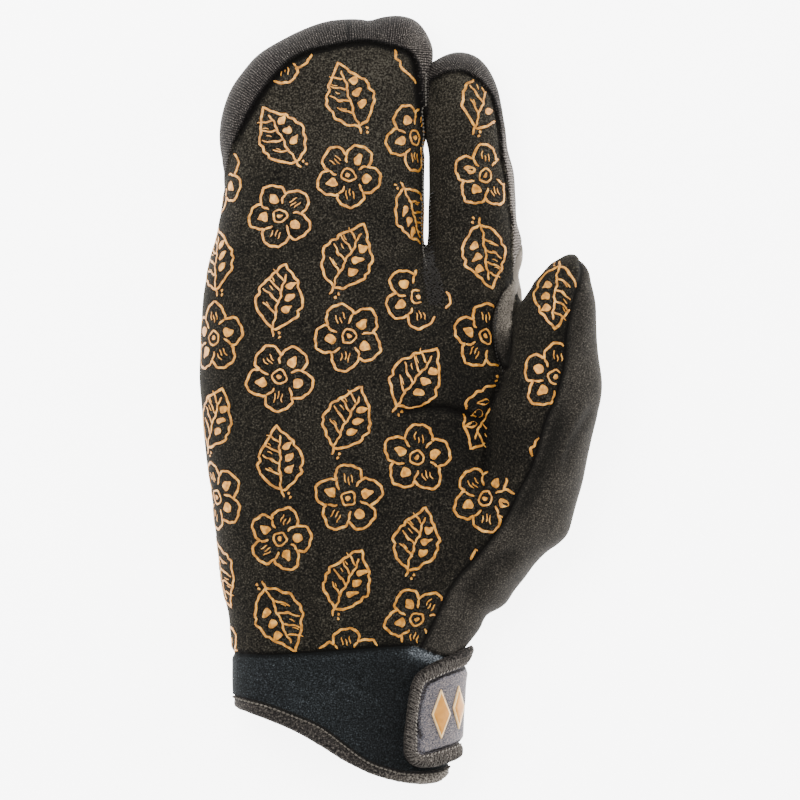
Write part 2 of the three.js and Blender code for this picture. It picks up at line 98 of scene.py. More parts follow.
def bell(distance: Array, width: float) -> Array:
    """A smooth bump that is 1 at distance 0 and dies away over about width."""
    return np.exp(-((distance / width) ** 2))


def smooth_curve(rows: list[tuple[float, ...]], spacing: float, closed: bool = False) -> Array:
    """A centripetal Catmull-Rom curve through the rows, in plan or in space.

    Args:
        rows: points on the curve, in millimetres.
        spacing: distance between two points of the result, about.
        closed: whether the last row joins the first.

    Returns:
        Points along the curve, one a row.
    """
    knots = np.array(rows, float)
    if closed:
        knots = np.vstack([knots[-1], knots, knots[0], knots[1]])
    else:
        knots = np.vstack([2 * knots[0] - knots[1], knots, 2 * knots[-1] - knots[-2]])
    points = []
    for p0, p1, p2, p3 in zip(knots[:-3], knots[1:-2], knots[2:-1], knots[3:]):
        t1 = max(np.linalg.norm(p1 - p0) ** 0.5, 1e-6)
        t2 = t1 + max(np.linalg.norm(p2 - p1) ** 0.5, 1e-6)
        t3 = t2 + max(np.linalg.norm(p3 - p2) ** 0.5, 1e-6)
        steps = max(int(np.linalg.norm(p2 - p1) / spacing * 4), 2)
        t = np.linspace(t1, t2, steps, endpoint=False)[:, None]
        a1 = (t1 - t) / t1 * p0 + t / t1 * p1
        a2 = (t2 - t) / (t2 - t1) * p1 + (t - t1) / (t2 - t1) * p2
        a3 = (t3 - t) / (t3 - t2) * p2 + (t - t2) / (t3 - t2) * p3
        b1 = (t2 - t) / t2 * a1 + t / t2 * a2
        b2 = (t3 - t) / (t3 - t1) * a2 + (t - t1) / (t3 - t1) * a3
        points.append((t2 - t) / (t2 - t1) * b1 + (t - t1) / (t2 - t1) * b2)
    line = np.vstack([*points, knots[-2][None]])
    return even_points(line, spacing)[: -1 if closed else None]


def even_points(line: Array, spacing: float) -> Array:
    """The same line with its points an even distance apart, close to spacing."""
    length = np.concatenate([[0.0], np.cumsum(np.linalg.norm(np.diff(line, axis=0), axis=1))])
    at = np.linspace(0.0, length[-1], max(int(round(length[-1] / spacing)), 1) + 1)
    return np.stack([np.interp(at, length, line[:, i]) for i in range(line.shape[1])], axis=1)


def line_distance(line: Array, points: Array) -> tuple[Array, Array, Array]:
    """How far points in plan are from a line, and where along it they are.

    Args:
        line: points of an open line in plan.
        points: the points to measure, in plan.

    Returns:
        The distance, the length along the line up to the nearest place on it, and the side:
        1 to the left of the line's direction and -1 to its right.
    """
    best = np.full(len(points), np.inf)
    along = np.zeros(len(points))
    side = np.ones(len(points))
    walked = 0.0
    for a, b in zip(line[:-1], line[1:]):
        step = b - a
        length = float(np.hypot(*step))
        rel = points - a
        t = np.clip(rel @ step / (length * length), 0.0, 1.0)
        away = np.hypot(rel[:, 0] - t * step[0], rel[:, 1] - t * step[1])
        near = away < best
        best[near] = away[near]
        along[near] = walked + t[near] * length
        side[near] = np.sign(step[0] * rel[near, 1] - step[1] * rel[near, 0])
        walked += length
    return best, along, side


def away_from(rows: Array | list[tuple[float, float]], points: Array) -> Array:
    """Distance in plan from points in space to a line through the rows."""
    return line_distance(np.array(rows), points[:, :2])[0]


def zone_depth(outline: Array, points: Array) -> Array:
    """Distance from points in plan to a closed outline, positive inside it."""
    closed = np.vstack([outline, outline[:1]])
    nearest = np.full(len(points), np.inf)
    inside = np.zeros(len(points), bool)
    x, y = points[:, 0], points[:, 1]
    for a, b in zip(closed[:-1], closed[1:]):
        dx, dy = b - a
        t = np.clip(((x - a[0]) * dx + (y - a[1]) * dy) / (dx * dx + dy * dy), 0.0, 1.0)
        nearest = np.minimum(nearest, (x - a[0] - t * dx) ** 2 + (y - a[1] - t * dy) ** 2)
        if a[1] != b[1]:
            inside ^= ((a[1] > y) != (b[1] > y)) & (x < a[0] + (y - a[1]) * dx / dy)
    return np.where(inside, 1.0, -1.0) * np.sqrt(nearest)


def ripple(points: Array, length: float, seed: int) -> Array:
    """Smooth unevenness between -1 and 1, about length from crest to crest.

    Args:
        points: where to read it, in millimetres.
        length: size of its lumps.
        seed: which pattern.

    Returns:
        One value for each point.
    """
    rng = np.random.default_rng(seed)
    total = np.zeros(len(points))
    for _ in range(7):
        direction = rng.normal(size=3)
        direction /= np.linalg.norm(direction)
        scale = 2.0 * math.pi / (length * rng.uniform(0.75, 1.6))
        total += np.sin(points @ direction * scale + rng.uniform(0, 2 * math.pi))
    return total / 4.0


# The tables that shape the mitten, in millimetres

HAND_OUTLINE = [
    (-57, -165), (-57, -125), (-57.2, -106), (-57.8, -92), (-59.1, -75.4), (-61.6, -64),
    (-63.6, -45), (-65.4, -30.7), (-67.4, -16), (-68.8, 3.3), (-68.9, 20.5), (-68.1, 33),
    (-66.3, 44), (-63.2, 58.6), (-61.2, 70), (-60.6, 79), (-61.4, 90), (-60.7, 98.8),
    (-57.7, 107), (-53.3, 113.3), (-48.2, 118.9), (-41.1, 123.4), (-33.1, 127.5),
    (-23.6, 130.2), (-14.5, 130.6), (-10.6, 130.2), (-5.8, 131.5), (0, 131.8), (4.8, 130.6),
    (7.8, 127.4), (8.8, 121), (8.6, 113), (8.3, 95), (8.2, 75), (8.4, 62), (8.5, 55), (8.9, 51.8),
    (9.3, 55), (9.7, 62), (10.2, 75), (10.1, 95), (10.1, 110), (11.4, 115.6), (15, 118.2),
    (20.2, 119.5), (25, 118.5), (29, 115.2), (32.2, 110), (34.2, 104), (35.4, 95),
    (36.2, 87), (38.4, 79), (39.5, 69), (39.8, 62), (41.6, 55), (42, 48.5), (40.8, 43),
    (41.6, 38), (41.4, 20), (41.4, 0), (42.4, -20), (43.4, -38), (40.6, -55), (34, -68.5),
    (29.6, -73), (28, -78), (21.6, -87), (19.2, -93), (18.2, -104), (17.4, -118),
    (17, -128), (17, -165),
]
# Along the hand: y, lowest level, highest level, radius of the rounded sides.
HAND_LEVELS = [
    (-165, 4.6, 33.5, 20), (-128, 4.6, 33.5, 20), (-100, 4.6, 32.5, 20), (-84, 4.4, 33, 20),
    (-72, 1.6, 34, 22), (-58, -0.8, 35.4, 23), (-15, -1.1, 37, 22), (35, -1.1, 34.5, 18),
    (85, -1, 31.5, 16), (135, -0.8, 28, 15),
]
THUMB_OUTLINE = [
    (58, 49.9), (53, 47.6), (49, 44.3), (45.3, 38.5), (41.6, 31.2), (38.6, 21.9), (36.4, 12),
    (31.6, -0.5), (29.3, -9), (28.9, -18), (28.4, -28), (25, -42), (22, -56), (25, -68),
    (34.4, -69.4), (38.8, -64.2), (50.4, -52.6), (54.2, -50.1), (57.8, -46.6), (60, -39.8),
    (62.2, -30.9), (65, -16.4), (67.6, -4.7), (69, 3.3), (69.1, 7.8), (68.2, 16),
    (66.9, 27.4), (65.6, 39), (64, 45.6), (61.6, 49),
]
# Along the thumb: y, lowest level, highest level.
THUMB_LEVELS = [
    (-80, 3, 31), (-60, 1, 34), (-40, 3, 38), (-18, 9, 41.5), (6, 14.5, 43), (30, 18, 42.5),
    (55, 20.5, 41.5),
]
TIP_BAND_SEAM = [
    (-66, 62), (-61.4, 72), (-58.4, 83.6), (-54.2, 94), (-48.2, 104.6), (-42.6, 111.6),
    (-37.4, 116.6), (-31.8, 119.4), (-24.2, 121.4), (-16.2, 123), (-8.3, 122.8), (-3, 121.4),
    (2.3, 120.2), (4.9, 117.6), (6.2, 112), (6.9, 104), (8.6, 93), (9.2, 86),
]
TIP_BAND_JOIN_X = -17.6
INDEX_BAND_SEAM = [
    (9.2, 104), (11, 109.6), (13.4, 111.6), (17, 112.8), (21.6, 112.8), (25.6, 111.2),
    (28.6, 108.6), (31.2, 105.8), (33, 101), (34, 94), (35, 84), (37, 74), (38.2, 64),
    (38.8, 56), (38.7, 48), (39.6, 41.6), (44, 39.8),
]
WEB_SEAM = [
    (42.8, 43.6), (39.2, 41.2), (34.2, 34.4), (31.8, 26), (32.8, 18), (36.1, 11.4),
    (37.4, 21.9), (38.6, 30), (40, 36), (42.4, 39.6), (47, 44.4), (56, 56),
]
THUMB_SEAM = [
    (62, 56), (62.2, 48.6), (62.4, 43.4), (60, 35.4), (57.2, 23.3), (55.9, 11.6),
    (52.4, -1.2), (50, -6.4), (48, -12.9), (44.5, -24), (40.7, -30.9), (38, -36.7),
    (34.8, -42.3), (26.7, -53.2), (18.3, -63.3), (13.4, -73), (8.1, -83.8), (3, -92),
]
CUFF_SEAM = [
    (-75, -87.6), (-57.6, -87.1), (-44.2, -87.2), (-24.8, -86), (-8, -84.8), (3, -84.2),
    (7, -84.6), (13, -87.2), (20, -88.6), (30, -88.6),
]
BINDING_TOP = [
    (-75, -98), (-56.8, -101.2), (-45.9, -103.5), (-36, -107.1), (-26.8, -111.1),
    (-16.9, -118.4), (-10.9, -122.6), (-3, -125.6), (3.5, -126.9), (13.5, -126.5),
    (17.8, -124.6), (30, -118),
]
HEM = [
    (-75, -103), (-56.8, -106.2), (-49.4, -108.1), (-36.6, -113), (-27.3, -118.1),
    (-18.2, -123.7), (-9.3, -127.9), (0, -130.5), (6.9, -131.4), (13.6, -131),
    (17.2, -129.4), (22, -126), (30, -121),
]
STRAP_PALM = [
    (40, -80.6), (24.4, -84.4), (16.8, -87.6), (9.6, -90.7), (4.9, -94.6), (3.3, -99.6),
    (2, -109), (1.2, -116.4), (1.5, -121.4), (4.6, -125), (10.6, -125.7), (17.2, -124),
    (21, -122.6), (40, -118.6),
]
STRAP_BACK = [
    (40, -80.6), (24.4, -85.6), (8, -87.4), (-19, -88), (-23, -91), (-24.6, -99),
    (-23.4, -106.6), (-18, -112), (-6, -119), (8, -123), (21, -123.4), (40, -119),
]

# The lines that the ribs of each band stand across, just outside the fingertips.
RIB_LINES = {
    "tip_band_outer": [(-68, 66), (-66, 84), (-60, 102), (-49, 117), (-34, 128), (-14, 134), (0, 135)],
    "tip_band_inner": [(-24, 137), (-4, 138), (9, 135), (15.5, 127), (16.5, 112), (16, 84)],
    "index_band": [
        (4, 84), (5.5, 101), (11.5, 117), (22, 122.5), (32, 116.5), (39, 101), (43, 80), (46, 60),
        (50, 40),
    ],
}
# Stitched lines.
SLIT_BEADS = [(7.3, 112), (7.4, 92), (7.4, 75), (7.5, 60), (8.2, 50), (9.0, 46)]
WEB_BEADS = [(33.2, 30), (32.6, 24), (33.2, 17), (35.2, 10)]
SLIT_EDGE = [(11.4, 71), (11.0, 62), (10.7, 54), (10.4, 48)]
TACK_SPINE = [(9.2, 52), (9.6, 47), (11, 40), (11.6, 32.5)]
# Along the bar tack: y, half its width.
TACK_WIDTHS = [(32.5, 1.3), (35, 2.4), (43, 2.7), (46, 1.7), (52, 1.2)]
# The line that the print stays clear of because of the bar tack.
TACK_LINE = [(9.2, 50.0), (11.8, 33.0)]
# The line of the painted highlight on the web, the cuff's crown under the ball of the thumb with its painted
# highlight, and a dent.
WEB_PAINTED_HIGHLIGHT = [(40.0, 28.0), (43.0, 41.0)]
CUFF_CROWN = [(5.0, -86.4), (12.0, -88.8), (20.0, -91.0)]
STRAP_DENT = [(5.2, -110.6), (6.4, -115.2)]
# Unevenness of the cloth: height, length and seed. The last is that of the puckers at a seam.
LUMPS = ((0.35, 34.0, 3), (0.12, 13.0, 5))
PUCKERS = (0.16, 4.5, 8)


def levels(table: list[tuple[float, ...]], column: int) -> Callable[[Array], Array]:
    """A function of y that runs smoothly through one column of a table of levels."""
    rows = np.array(table, float)
    fine = np.linspace(rows[0, 0], rows[-1, 0], 400)
    slope = np.gradient(rows[:, column], rows[:, 0])
    i = np.clip(np.searchsorted(rows[:, 0], fine) - 1, 0, len(rows) - 2)
    span = rows[i + 1, 0] - rows[i, 0]
    t = (fine - rows[i, 0]) / span
    value = (
        (1 + 2 * t) * (1 - t) ** 2 * rows[i, column]
        + t * (1 - t) ** 2 * span * slope[i]
        + t * t * (3 - 2 * t) * rows[i + 1, column]
        - t * t * (1 - t) * span * slope[i + 1]
    )
    return lambda y: np.interp(y, fine, value)


@dataclass
class PlanMap:
    """Depth inside an outline, sampled on a fine grid in plan so that it reads quickly.

    Attributes:
        outline: the closed outline.
        low: the grid's corner with the lowest x and y.
        high: the opposite corner.
        step: distance between two grid lines.
    """

    outline: Array
    low: tuple[float, float]
    high: tuple[float, float]
    step: float = 0.5
    values: Array = field(init=False)

    def __post_init__(self) -> None:
        """Measures the depth at every grid point."""
        nx, ny = (int((h - l) / self.step) + 1 for l, h in zip(self.low, self.high))
        x = self.low[0] + self.step * np.arange(nx)
        y = self.low[1] + self.step * np.arange(ny)
        grid = np.stack(np.meshgrid(x, y, indexing="ij"), axis=-1).reshape(-1, 2)
        self.values = zone_depth(self.outline, grid).reshape(nx, ny)

    def read(self, x: Array, y: Array) -> Array:
        """The depth at points in plan, between grid points by linear steps."""
        u = np.clip((x - self.low[0]) / self.step, 0, self.values.shape[0] - 1.001)
        v = np.clip((y - self.low[1]) / self.step, 0, self.values.shape[1] - 1.001)
        i, j = u.astype(int), v.astype(int)
        a, b = u - i, v - j
        low = self.values[i, j] * (1 - a) + self.values[i + 1, j] * a
        high = self.values[i, j + 1] * (1 - a) + self.values[i + 1, j + 1] * a
        return low * (1 - b) + high * b


@dataclass
class MittenForm:
    """The soft outer form: a field that is zero on the surface and negative inside.

    Attributes:
        crown: share by which the middle of the palm stands over its rim.
        crown_reach: distance from the outline at which the crown is full.
        thumb_edge: radius of the thumb's rounded sides.
        index_edge: radius of the index finger's rounded sides.
        index_x: from where to where, across the hand, it becomes the index finger.
        index_y: the same along the hand.
        index_lower: how much lower the index finger is than the pocket.
        blend: how softly hand and thumb run into each other at least.
        blend_more: how much softer they do at the thumb's root, and again at the web.
        root_y: from where to where the thumb's root hardens.
        web_y: from where to where the web softens.
        top: a height above the whole mitten.
        probe: distance over which slopes are measured.
    """

    crown: float = 0.10
    crown_reach: float = 34.0
    thumb_edge: float = 13.5
    index_edge: float = 14.5
    index_x: tuple[float, float] = (9, 12)
    index_y: tuple[float, float] = (30, 56)
    index_lower: float = 2.0
    blend: float = 1.5
    blend_more: float = 7.0
    root_y: tuple[float, float] = (-50, -22)
    web_y: tuple[float, float] = (12, 26)
    top: float = 48.0
    probe: float = 0.35
    hand_map: PlanMap = field(init=False)
    thumb_map: PlanMap = field(init=False)

    def __post_init__(self) -> None:
        """Prepares the outlines and the levels along the hand and thumb."""
        hand = smooth_curve(HAND_OUTLINE, 2.0, closed=True)
        thumb = smooth_curve(THUMB_OUTLINE, 2.0, closed=True)
        self.hand_map = PlanMap(hand, (-80.0, -140.0), (80.0, 142.0))
        self.thumb_map = PlanMap(thumb, (10.0, -90.0), (80.0, 64.0))
        self.hand_low, self.hand_high, self.hand_edge = (levels(HAND_LEVELS, i) for i in (1, 2, 3))
        self.thumb_low, self.thumb_high = (levels(THUMB_LEVELS, i) for i in (1, 2))

    def pillow(self, depth: Array, z: Array, low: Array, high: Array, edge: Array, inset: float) -> Array:
        """The field of a pillow with rounded sides, shrunk by inset.

        Args:
            depth: distance from the outline in plan, positive inside.
            z: height.
            low: level of its lowest face.
            high: level of its highest face.
            edge: radius of its sides.
            inset: how much smaller it is on every side.

        Returns:
            About the distance to its surface, negative inside.
        """
        half = (high - low) / 2 - inset
        full = 1 + self.crown * (smoothstep(edge / 2, self.crown_reach, depth) - 1)
        rim = np.maximum(1 - (depth - inset) / (edge - inset), 0)
        return (np.hypot(rim, (z - (high + low) / 2) / (half * full)) - 1) * half

    def thumb(self, x: Array, y: Array, z: Array, inset: float = 0.0) -> Array:
        """The field of the thumb alone."""
        low, high = self.thumb_low(y), self.thumb_high(y)
        return self.pillow(self.thumb_map.read(x, y), z, low, high, self.thumb_edge, inset)

    def read(self, x: Array, y: Array, z: Array, inset: float = 0.0) -> Array:
        """The field of hand and thumb together.

        Args:
            x: across the palm.
            y: along the hand.
            z: height.
            inset: how far inside the outer face, negative outside it.

        Returns:
            The field's value at each point.
        """
        index = smoothstep(*self.index_x, x) * smoothstep(*self.index_y, y)
        edge = self.hand_edge(y) * (1 - index) + self.index_edge * index
        high = self.hand_high(y) - self.index_lower * index
        hand = self.pillow(self.hand_map.read(x, y), z, self.hand_low(y), high, edge, inset)
        thumb = self.thumb(x, y, z, inset)
        at_root, at_web = 1 - smoothstep(*self.root_y, y), smoothstep(*self.web_y, y)
        blend = self.blend + self.blend_more * at_root + self.blend_more * at_web
        overlap = np.maximum(blend - np.abs(hand - thumb), 0) / blend
        return np.minimum(hand, thumb) - overlap * overlap * blend / 4

    def at(self, points: Array, inset: float = 0.0) -> Array:
        """The field at points in space."""
        return self.read(points[:, 0], points[:, 1], points[:, 2], inset)

    def slope(self, points: Array, inset: float = 0.0) -> Array:
        """The direction and steepness in which the field rises, at points in space."""
        parts = [
            (self.at(points + move, inset) - self.at(points - move, inset)) / (2 * self.probe)
            for move in self.probe * np.eye(3)
        ]
        return np.stack(parts, axis=1)

    def normal(self, points: Array) -> Array:
        """The outward direction at points on the surface."""
        return unit(self.slope(points))

    def settle(self, points: Array, inset: float = 0.0, passes: int = 3) -> Array:
        """Moves points on to the surface along the field's slope."""
        for _ in range(passes):
            slope = self.slope(points, inset)
            steep = np.maximum((slope**2).sum(axis=1), 0.2)
            move = np.clip(self.at(points, inset) / steep, -1.0, 1.0)
            points = points - move[:, None] * slope
        return points

    def from_above(self, plan: Array) -> Array:
        """The highest points of the surface over points in plan, which lie inside the outline."""
        z = np.arange(self.top, 0.0, -1.0)
        x, y = (np.repeat(plan[:, i : i + 1], len(z), axis=1) for i in (0, 1))
        inside = self.read(x, y, np.broadcast_to(z, x.shape)) < 0
        low = z[inside.argmax(axis=1)]
        return self.raised(plan, low, low + 1.0, 12)

    def raised(self, plan: Array, low: Array, high: Array, halvings: int, inset: float = 0.0) -> Array:
        """Raises points in plan on to the surface.

        Args:
            plan: the points.
            low: a height inside the form for each.
            high: a height over it.
            halvings: how often the span between them is halved.
            inset: how far inside the outer face, negative outside it.

        Returns:
            The points in space.
        """
        for _ in range(halvings):
            middle = (low + high) / 2
            into = self.read(plan[:, 0], plan[:, 1], middle, inset) < 0
            low, high = np.where(into, middle, low), np.where(into, high, middle)
        return np.column_stack([plan, low])

    def walk(self, start: Array, toward: Array, length: Array, steps: int = 12) -> tuple[Array, Array]:
        """Walks straight ahead over the surface, as a thread laid on it would run.

        Args:
            start: points on the surface.
            toward: a direction for each, which need not lie in the surface.
            length: how far each goes.
            steps: how many steps they take.

        Returns:
            Where each arrives and the direction it walks in there.
        """
        points, ahead = start, toward
        for _ in range(steps):
            ahead = square_to(ahead, self.normal(points))
            points = self.settle(points + ahead * (length / steps)[:, None], passes=1)
        return points, ahead


# Meshes


def quads(a: Array, b: Array, c: Array, d: Array) -> Array:
    """Two triangles for each quadrilateral, from the numbers of its corners in order."""
    return np.vstack([np.stack([a, b, c], axis=1), np.stack([a, c, d], axis=1)])


@dataclass
class Patch:
    """A triangle mesh in millimetres.

    Attributes:
        points: one vertex a row.
        faces: three vertex numbers a row, anticlockwise seen from outside.
    """

    points: Array
    faces: Array

    def compact(self) -> "Patch":
        """The same mesh without vertices that no face uses."""
        used, inverse = np.unique(self.faces, return_inverse=True)
        return Patch(self.points[used], inverse.reshape(-1, 3))

    def cut(self, value: Callable[[Array], Array], snap: float = 0.12) -> tuple["Patch", "Patch"]:
        """Cuts the mesh along the line where a function of place is zero.

        Args:
            value: gives a number for each point, about its distance from the line.
            snap: a vertex closer to the line than this counts as on it.

        Returns:
            The part where the function is positive, and the rest.
        """
        level = value(self.points)
        sign = np.where(np.abs(level) < snap, 0, np.sign(level)).astype(int)
        face_sign = sign[self.faces]
        most, least = face_sign.max(axis=1), face_sign.min(axis=1)
        above, rest = self.faces[(least >= 0) & (most > 0)], self.faces[most <= 0]
        crossed = self.faces[(most > 0) & (least < 0)]
        if not len(crossed):
            return Patch(self.points, above).compact(), Patch(self.points, rest).compact()
        signs = sign[crossed]
        has_zero = (signs == 0).any(axis=1)
        lonely = np.where(
            has_zero,
            (signs == 0).argmax(axis=1),
            (signs == -np.sign(signs.sum(axis=1))[:, None]).argmax(axis=1),
        )
        turned = crossed[np.arange(len(crossed))[:, None], (lonely[:, None] + np.arange(3)) % 3]
        plain, zero = turned[~has_zero], turned[has_zero]
        edges = np.vstack([plain[:, [0, 1]], plain[:, [0, 2]], zero[:, [1, 2]]])
        pairs, number = np.unique(np.sort(edges, axis=1), axis=0, return_inverse=True)
        a, b = level[pairs[:, 0]], level[pairs[:, 1]]
        t = (a / (a - b))[:, None]
        between = self.points[pairs[:, 0]] * (1 - t) + self.points[pairs[:, 1]] * t
        points = np.vstack([self.points, between])
        number = number.reshape(-1) + len(self.points)
        n = len(plain)
        first, second, third = number[:n], number[n : 2 * n], number[2 * n :]
        tip_up, one_up = sign[plain[:, 0]] > 0, sign[zero[:, 1]] > 0
        parts = (
            (np.stack([plain[:, 0], first, second], axis=1), tip_up),
            (quads(first, plain[:, 1], plain[:, 2], second), np.tile(~tip_up, 2)),
            (np.stack([zero[:, 0], zero[:, 1], third], axis=1), one_up),
            (np.stack([zero[:, 0], third, zero[:, 2]], axis=1), ~one_up),
        )
        above = np.vstack([above, *(faces[up] for faces, up in parts)])
        rest = np.vstack([rest, *(faces[~up] for faces, up in parts)])
        return Patch(points, above).compact(), Patch(points, rest).compact()

    def edges(self) -> Array:
        """The three sides of each face, in the direction of that face."""
        return np.vstack([self.faces[:, pair] for pair in ([0, 1], [1, 2], [2, 0])])

    def border(self) -> Array:
        """The edges that belong to one face only, in the direction of that face."""
        edges = self.edges()
        order = np.sort(edges, axis=1)
        _, first, count = np.unique(order, axis=0, return_index=True, return_counts=True)
        return edges[first[count == 1]]

    def thick(self, inner: Array) -> "Patch":
        """A closed mesh between this face and the same face moved to inner points."""
        n = len(self.points)
        a, b = self.border().T
        faces = np.vstack([self.faces, self.faces[:, ::-1] + n, quads(b, a, a + n, b + n)])
        return Patch(np.vstack([self.points, inner]), faces)

    def finer(self) -> "Patch":
        """Each triangle split into four."""
        pairs, number = np.unique(np.sort(self.edges(), axis=1), axis=0, return_inverse=True)
        middle = number.reshape(-1) + len(self.points)
        n = len(self.faces)
        ab, bc, ca = middle[:n], middle[n : 2 * n], middle[2 * n :]
        a, b, c = self.faces.T
        rows = ((a, ab, ca), (ab, b, bc), (ca, bc, c), (ab, bc, ca))
        faces = np.vstack([np.stack(row, axis=1) for row in rows])
        return Patch(np.vstack([self.points, self.points[pairs].mean(axis=1)]), faces)

    def largest(self) -> "Patch":
        """The biggest connected part."""
        group = np.arange(len(self.points))
        while True:
            lowest = group[self.faces].min(axis=1)
            after = group.copy()
            np.minimum.at(after, self.faces.ravel(), np.repeat(lowest, 3))
            after = after[after]
            if (after == group).all():
                break
            group = after
        names, count = np.unique(group[self.faces[:, 0]], return_counts=True)
        return Patch(self.points, self.faces[group[self.faces[:, 0]] == names[count.argmax()]]).compact()


def grid_lines(*spans: tuple[float, float, float]) -> Array:
    """Rising grid lines made of spans, each from a start to an end with a step."""
    return np.concatenate([np.arange(start, end - 1e-6, step) for start, end, step in spans])


def ends(grid: Array, axis: int) -> tuple[Array, Array]:
    """What a grid holds at the lower and at the upper ends of its edges along one axis."""
    turned = np.moveaxis(grid, axis, 0)
    return np.moveaxis(turned[:-1], 0, axis), np.moveaxis(turned[1:], 0, axis)


def cell_points(value: Array, lines: list[Array]) -> tuple[Array, Array]:
    """One vertex in each grid cell that the surface crosses.

    Args:
        value: the field at every grid point.
        lines: the grid lines along x, y and z, each shaped to spread over the grid.

    Returns:
        The vertices, and for every cell the number of its vertex or -1.
    """
    total = np.zeros((*(length - 1 for length in value.shape), 4))
    for axis in range(3):
        a, b = ends(value, axis)
        crossed = (a < 0) != (b < 0)
        t = np.where(crossed, a / np.where(crossed, a - b, 1), 0)
        low, high = ends(lines[axis], axis)
        place = [*lines, 1.0]
        place[axis] = low + (high - low) * t
        place = np.stack(np.broadcast_arrays(*place), axis=-1) * crossed[..., None]
        first, second = (side for side in range(3) if side != axis)
        for half in ends(place, first):
            for quarter in ends(half, second):
                total += quarter
    full = total[..., 3] > 0
    number = np.full(full.shape, -1)
    number[full] = np.arange(full.sum())
    return total[full][:, :3] / total[full][:, 3:], number


def mesh_form(form: MittenForm, axes: list[Array], inset: float = 0.0) -> Patch:
    """Meshes the form's surface with one vertex in each grid cell that it crosses.

    Args:
        form: the form.
        axes: grid lines along x, y and z.
        inset: how far inside the outer face.

    Returns:
        The closed surface within the grid, or cut off at the grid's sides.
    """
    lines = [axis.reshape(shape) for axis, shape in zip(axes, ((-1, 1, 1), (1, -1, 1), (1, 1, -1)))]
    value = form.read(*lines, inset)
    points, number = cell_points(value, lines)
    below = value < 0
    cells = []
    for axis in range(3):
        sides = [(axis + 1) % 3, (axis + 2) % 3]
        crossed = np.argwhere(np.not_equal(*ends(below, axis)))
        limits = np.array(number.shape)[sides]
        crossed = crossed[((crossed[:, sides] > 0) & (crossed[:, sides] < limits)).all(axis=1)]
        steps = np.array([(1, 1), (0, 1), (0, 0), (1, 0)]) @ np.eye(3, dtype=int)[sides]
        cell = number[tuple((crossed[:, None] - steps).T)].T
        cells.append(np.where(below[tuple(crossed.T)][:, None], cell, cell[:, ::-1]))
    cell = np.vstack(cells)
    points = form.settle(points, inset)
    p = points[cell]
    short = np.linalg.norm(p[:, 0] - p[:, 2], axis=1) <= np.linalg.norm(p[:, 1] - p[:, 3], axis=1)
    return Patch(points, quads(*np.where(short[:, None], cell, np.roll(cell, -1, axis=1)).T))


def put(name: str, data: bpy.types.ID) -> bpy.types.Object:
    """Makes an object of a mesh, a light or a camera and puts it in the scene."""
    made = bpy.data.objects.new(name, data)
    bpy.context.scene.collection.objects.link(made)
    return made


def show(name: str, patch: Patch, finish: "Finish", **facts: Array) -> bpy.types.Object:
    """Makes a patch into a Blender object with its finish.

    Args:
        name: the object's name.
        patch: its mesh, in millimetres.
        finish: what it is made of.
        facts: numbers for the finish to read, for each vertex or for those of the outer face alone,
            whose numbers the inner face then has too.

    Returns:
        The new object, riding on the part's body.
    """
    mesh = bpy.data.meshes.new(name)
    mesh.vertices.add(len(patch.points))
    mesh.vertices.foreach_set("co", (patch.points * MM).astype(np.float32).ravel())
    mesh.loops.add(3 * len(patch.faces))
    mesh.loops.foreach_set("vertex_index", patch.faces.astype(np.int32).ravel())
    mesh.polygons.add(len(patch.faces))
    mesh.polygons.foreach_set("loop_start", np.arange(0, 3 * len(patch.faces), 3, dtype=np.int32))
    mesh.update(calc_edges=True)
    mesh.validate()
    mesh.shade_smooth()
    mesh.set_sharp_from_angle(angle=math.radians(SMOOTH_BELOW_DEG))
    for fact, numbers in facts.items():
        numbers = np.tile(numbers, len(patch.points) // len(numbers)).astype(np.float32)
        mesh.attributes.new(fact, "FLOAT", "POINT").data.foreach_set("value", numbers)
    mesh.materials.append(finish.material())
    piece = put(name, mesh)
    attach(piece, "root")
    LOG.info("%s: %d triangles", name, len(patch.faces))
    return piece


def joined(patches: list[Patch]) -> Patch:
    """Many meshes in one."""
    starts = np.cumsum([0] + [len(patch.points) for patch in patches[:-1]])
    faces = [patch.faces + start for patch, start in zip(patches, starts)]
    return Patch(np.vstack([patch.points for patch in patches]), np.vstack(faces))


def tube(sections: Array) -> Patch:
    """Closed rods through cross-sections.

    Args:
        sections: points numbered by rod, section, corner and axis. The corners run
            anticlockwise seen against the rod's direction.

    Returns:
        All the rods, each with both ends closed.
    """
    rods, count, sides = sections.shape[:3]
    ring = np.arange(sides)
    following = (ring + 1) % sides
    first = (np.arange(count - 1) * sides)[:, None]
    a, b = (first + ring).ravel(), (first + following).ravel()
    walls = quads(a, b, b + sides, a + sides)
    fan = np.stack([np.zeros(sides - 2, int), ring[2:], ring[1:-1]], axis=1)
    one = np.vstack([walls, fan, fan[:, ::-1] + (count - 1) * sides])
    faces = one + (np.arange(rods) * count * sides)[:, None, None]
    return Patch(sections.reshape(-1, 3), faces.reshape(-1, 3))


def stacked_rings(rings: list[Array], top: Array, bottom: Array) -> Patch:
    """A closed body through rings of points.

    Args:
        rings: the rings from the lowest to the highest, anticlockwise seen from outside.
        top: the point that closes the highest ring.
        bottom: the point that closes the lowest one.

    Returns:
        The body.
    """
    count = len(rings[0])
    last = (len(rings) - 1) * count
    a = np.arange(count)
    b = (a + 1) % count
    faces = [quads(a + k, b + k, b + k + count, a + k + count) for k in range(0, last, count)]
    faces.append(np.stack([a + last, b + last, np.full(count, last + count)], axis=1))
    faces.append(np.stack([b, a, np.full(count, last + count + 1)], axis=1))
    return Patch(np.vstack([*rings, top, bottom]), np.vstack(faces))


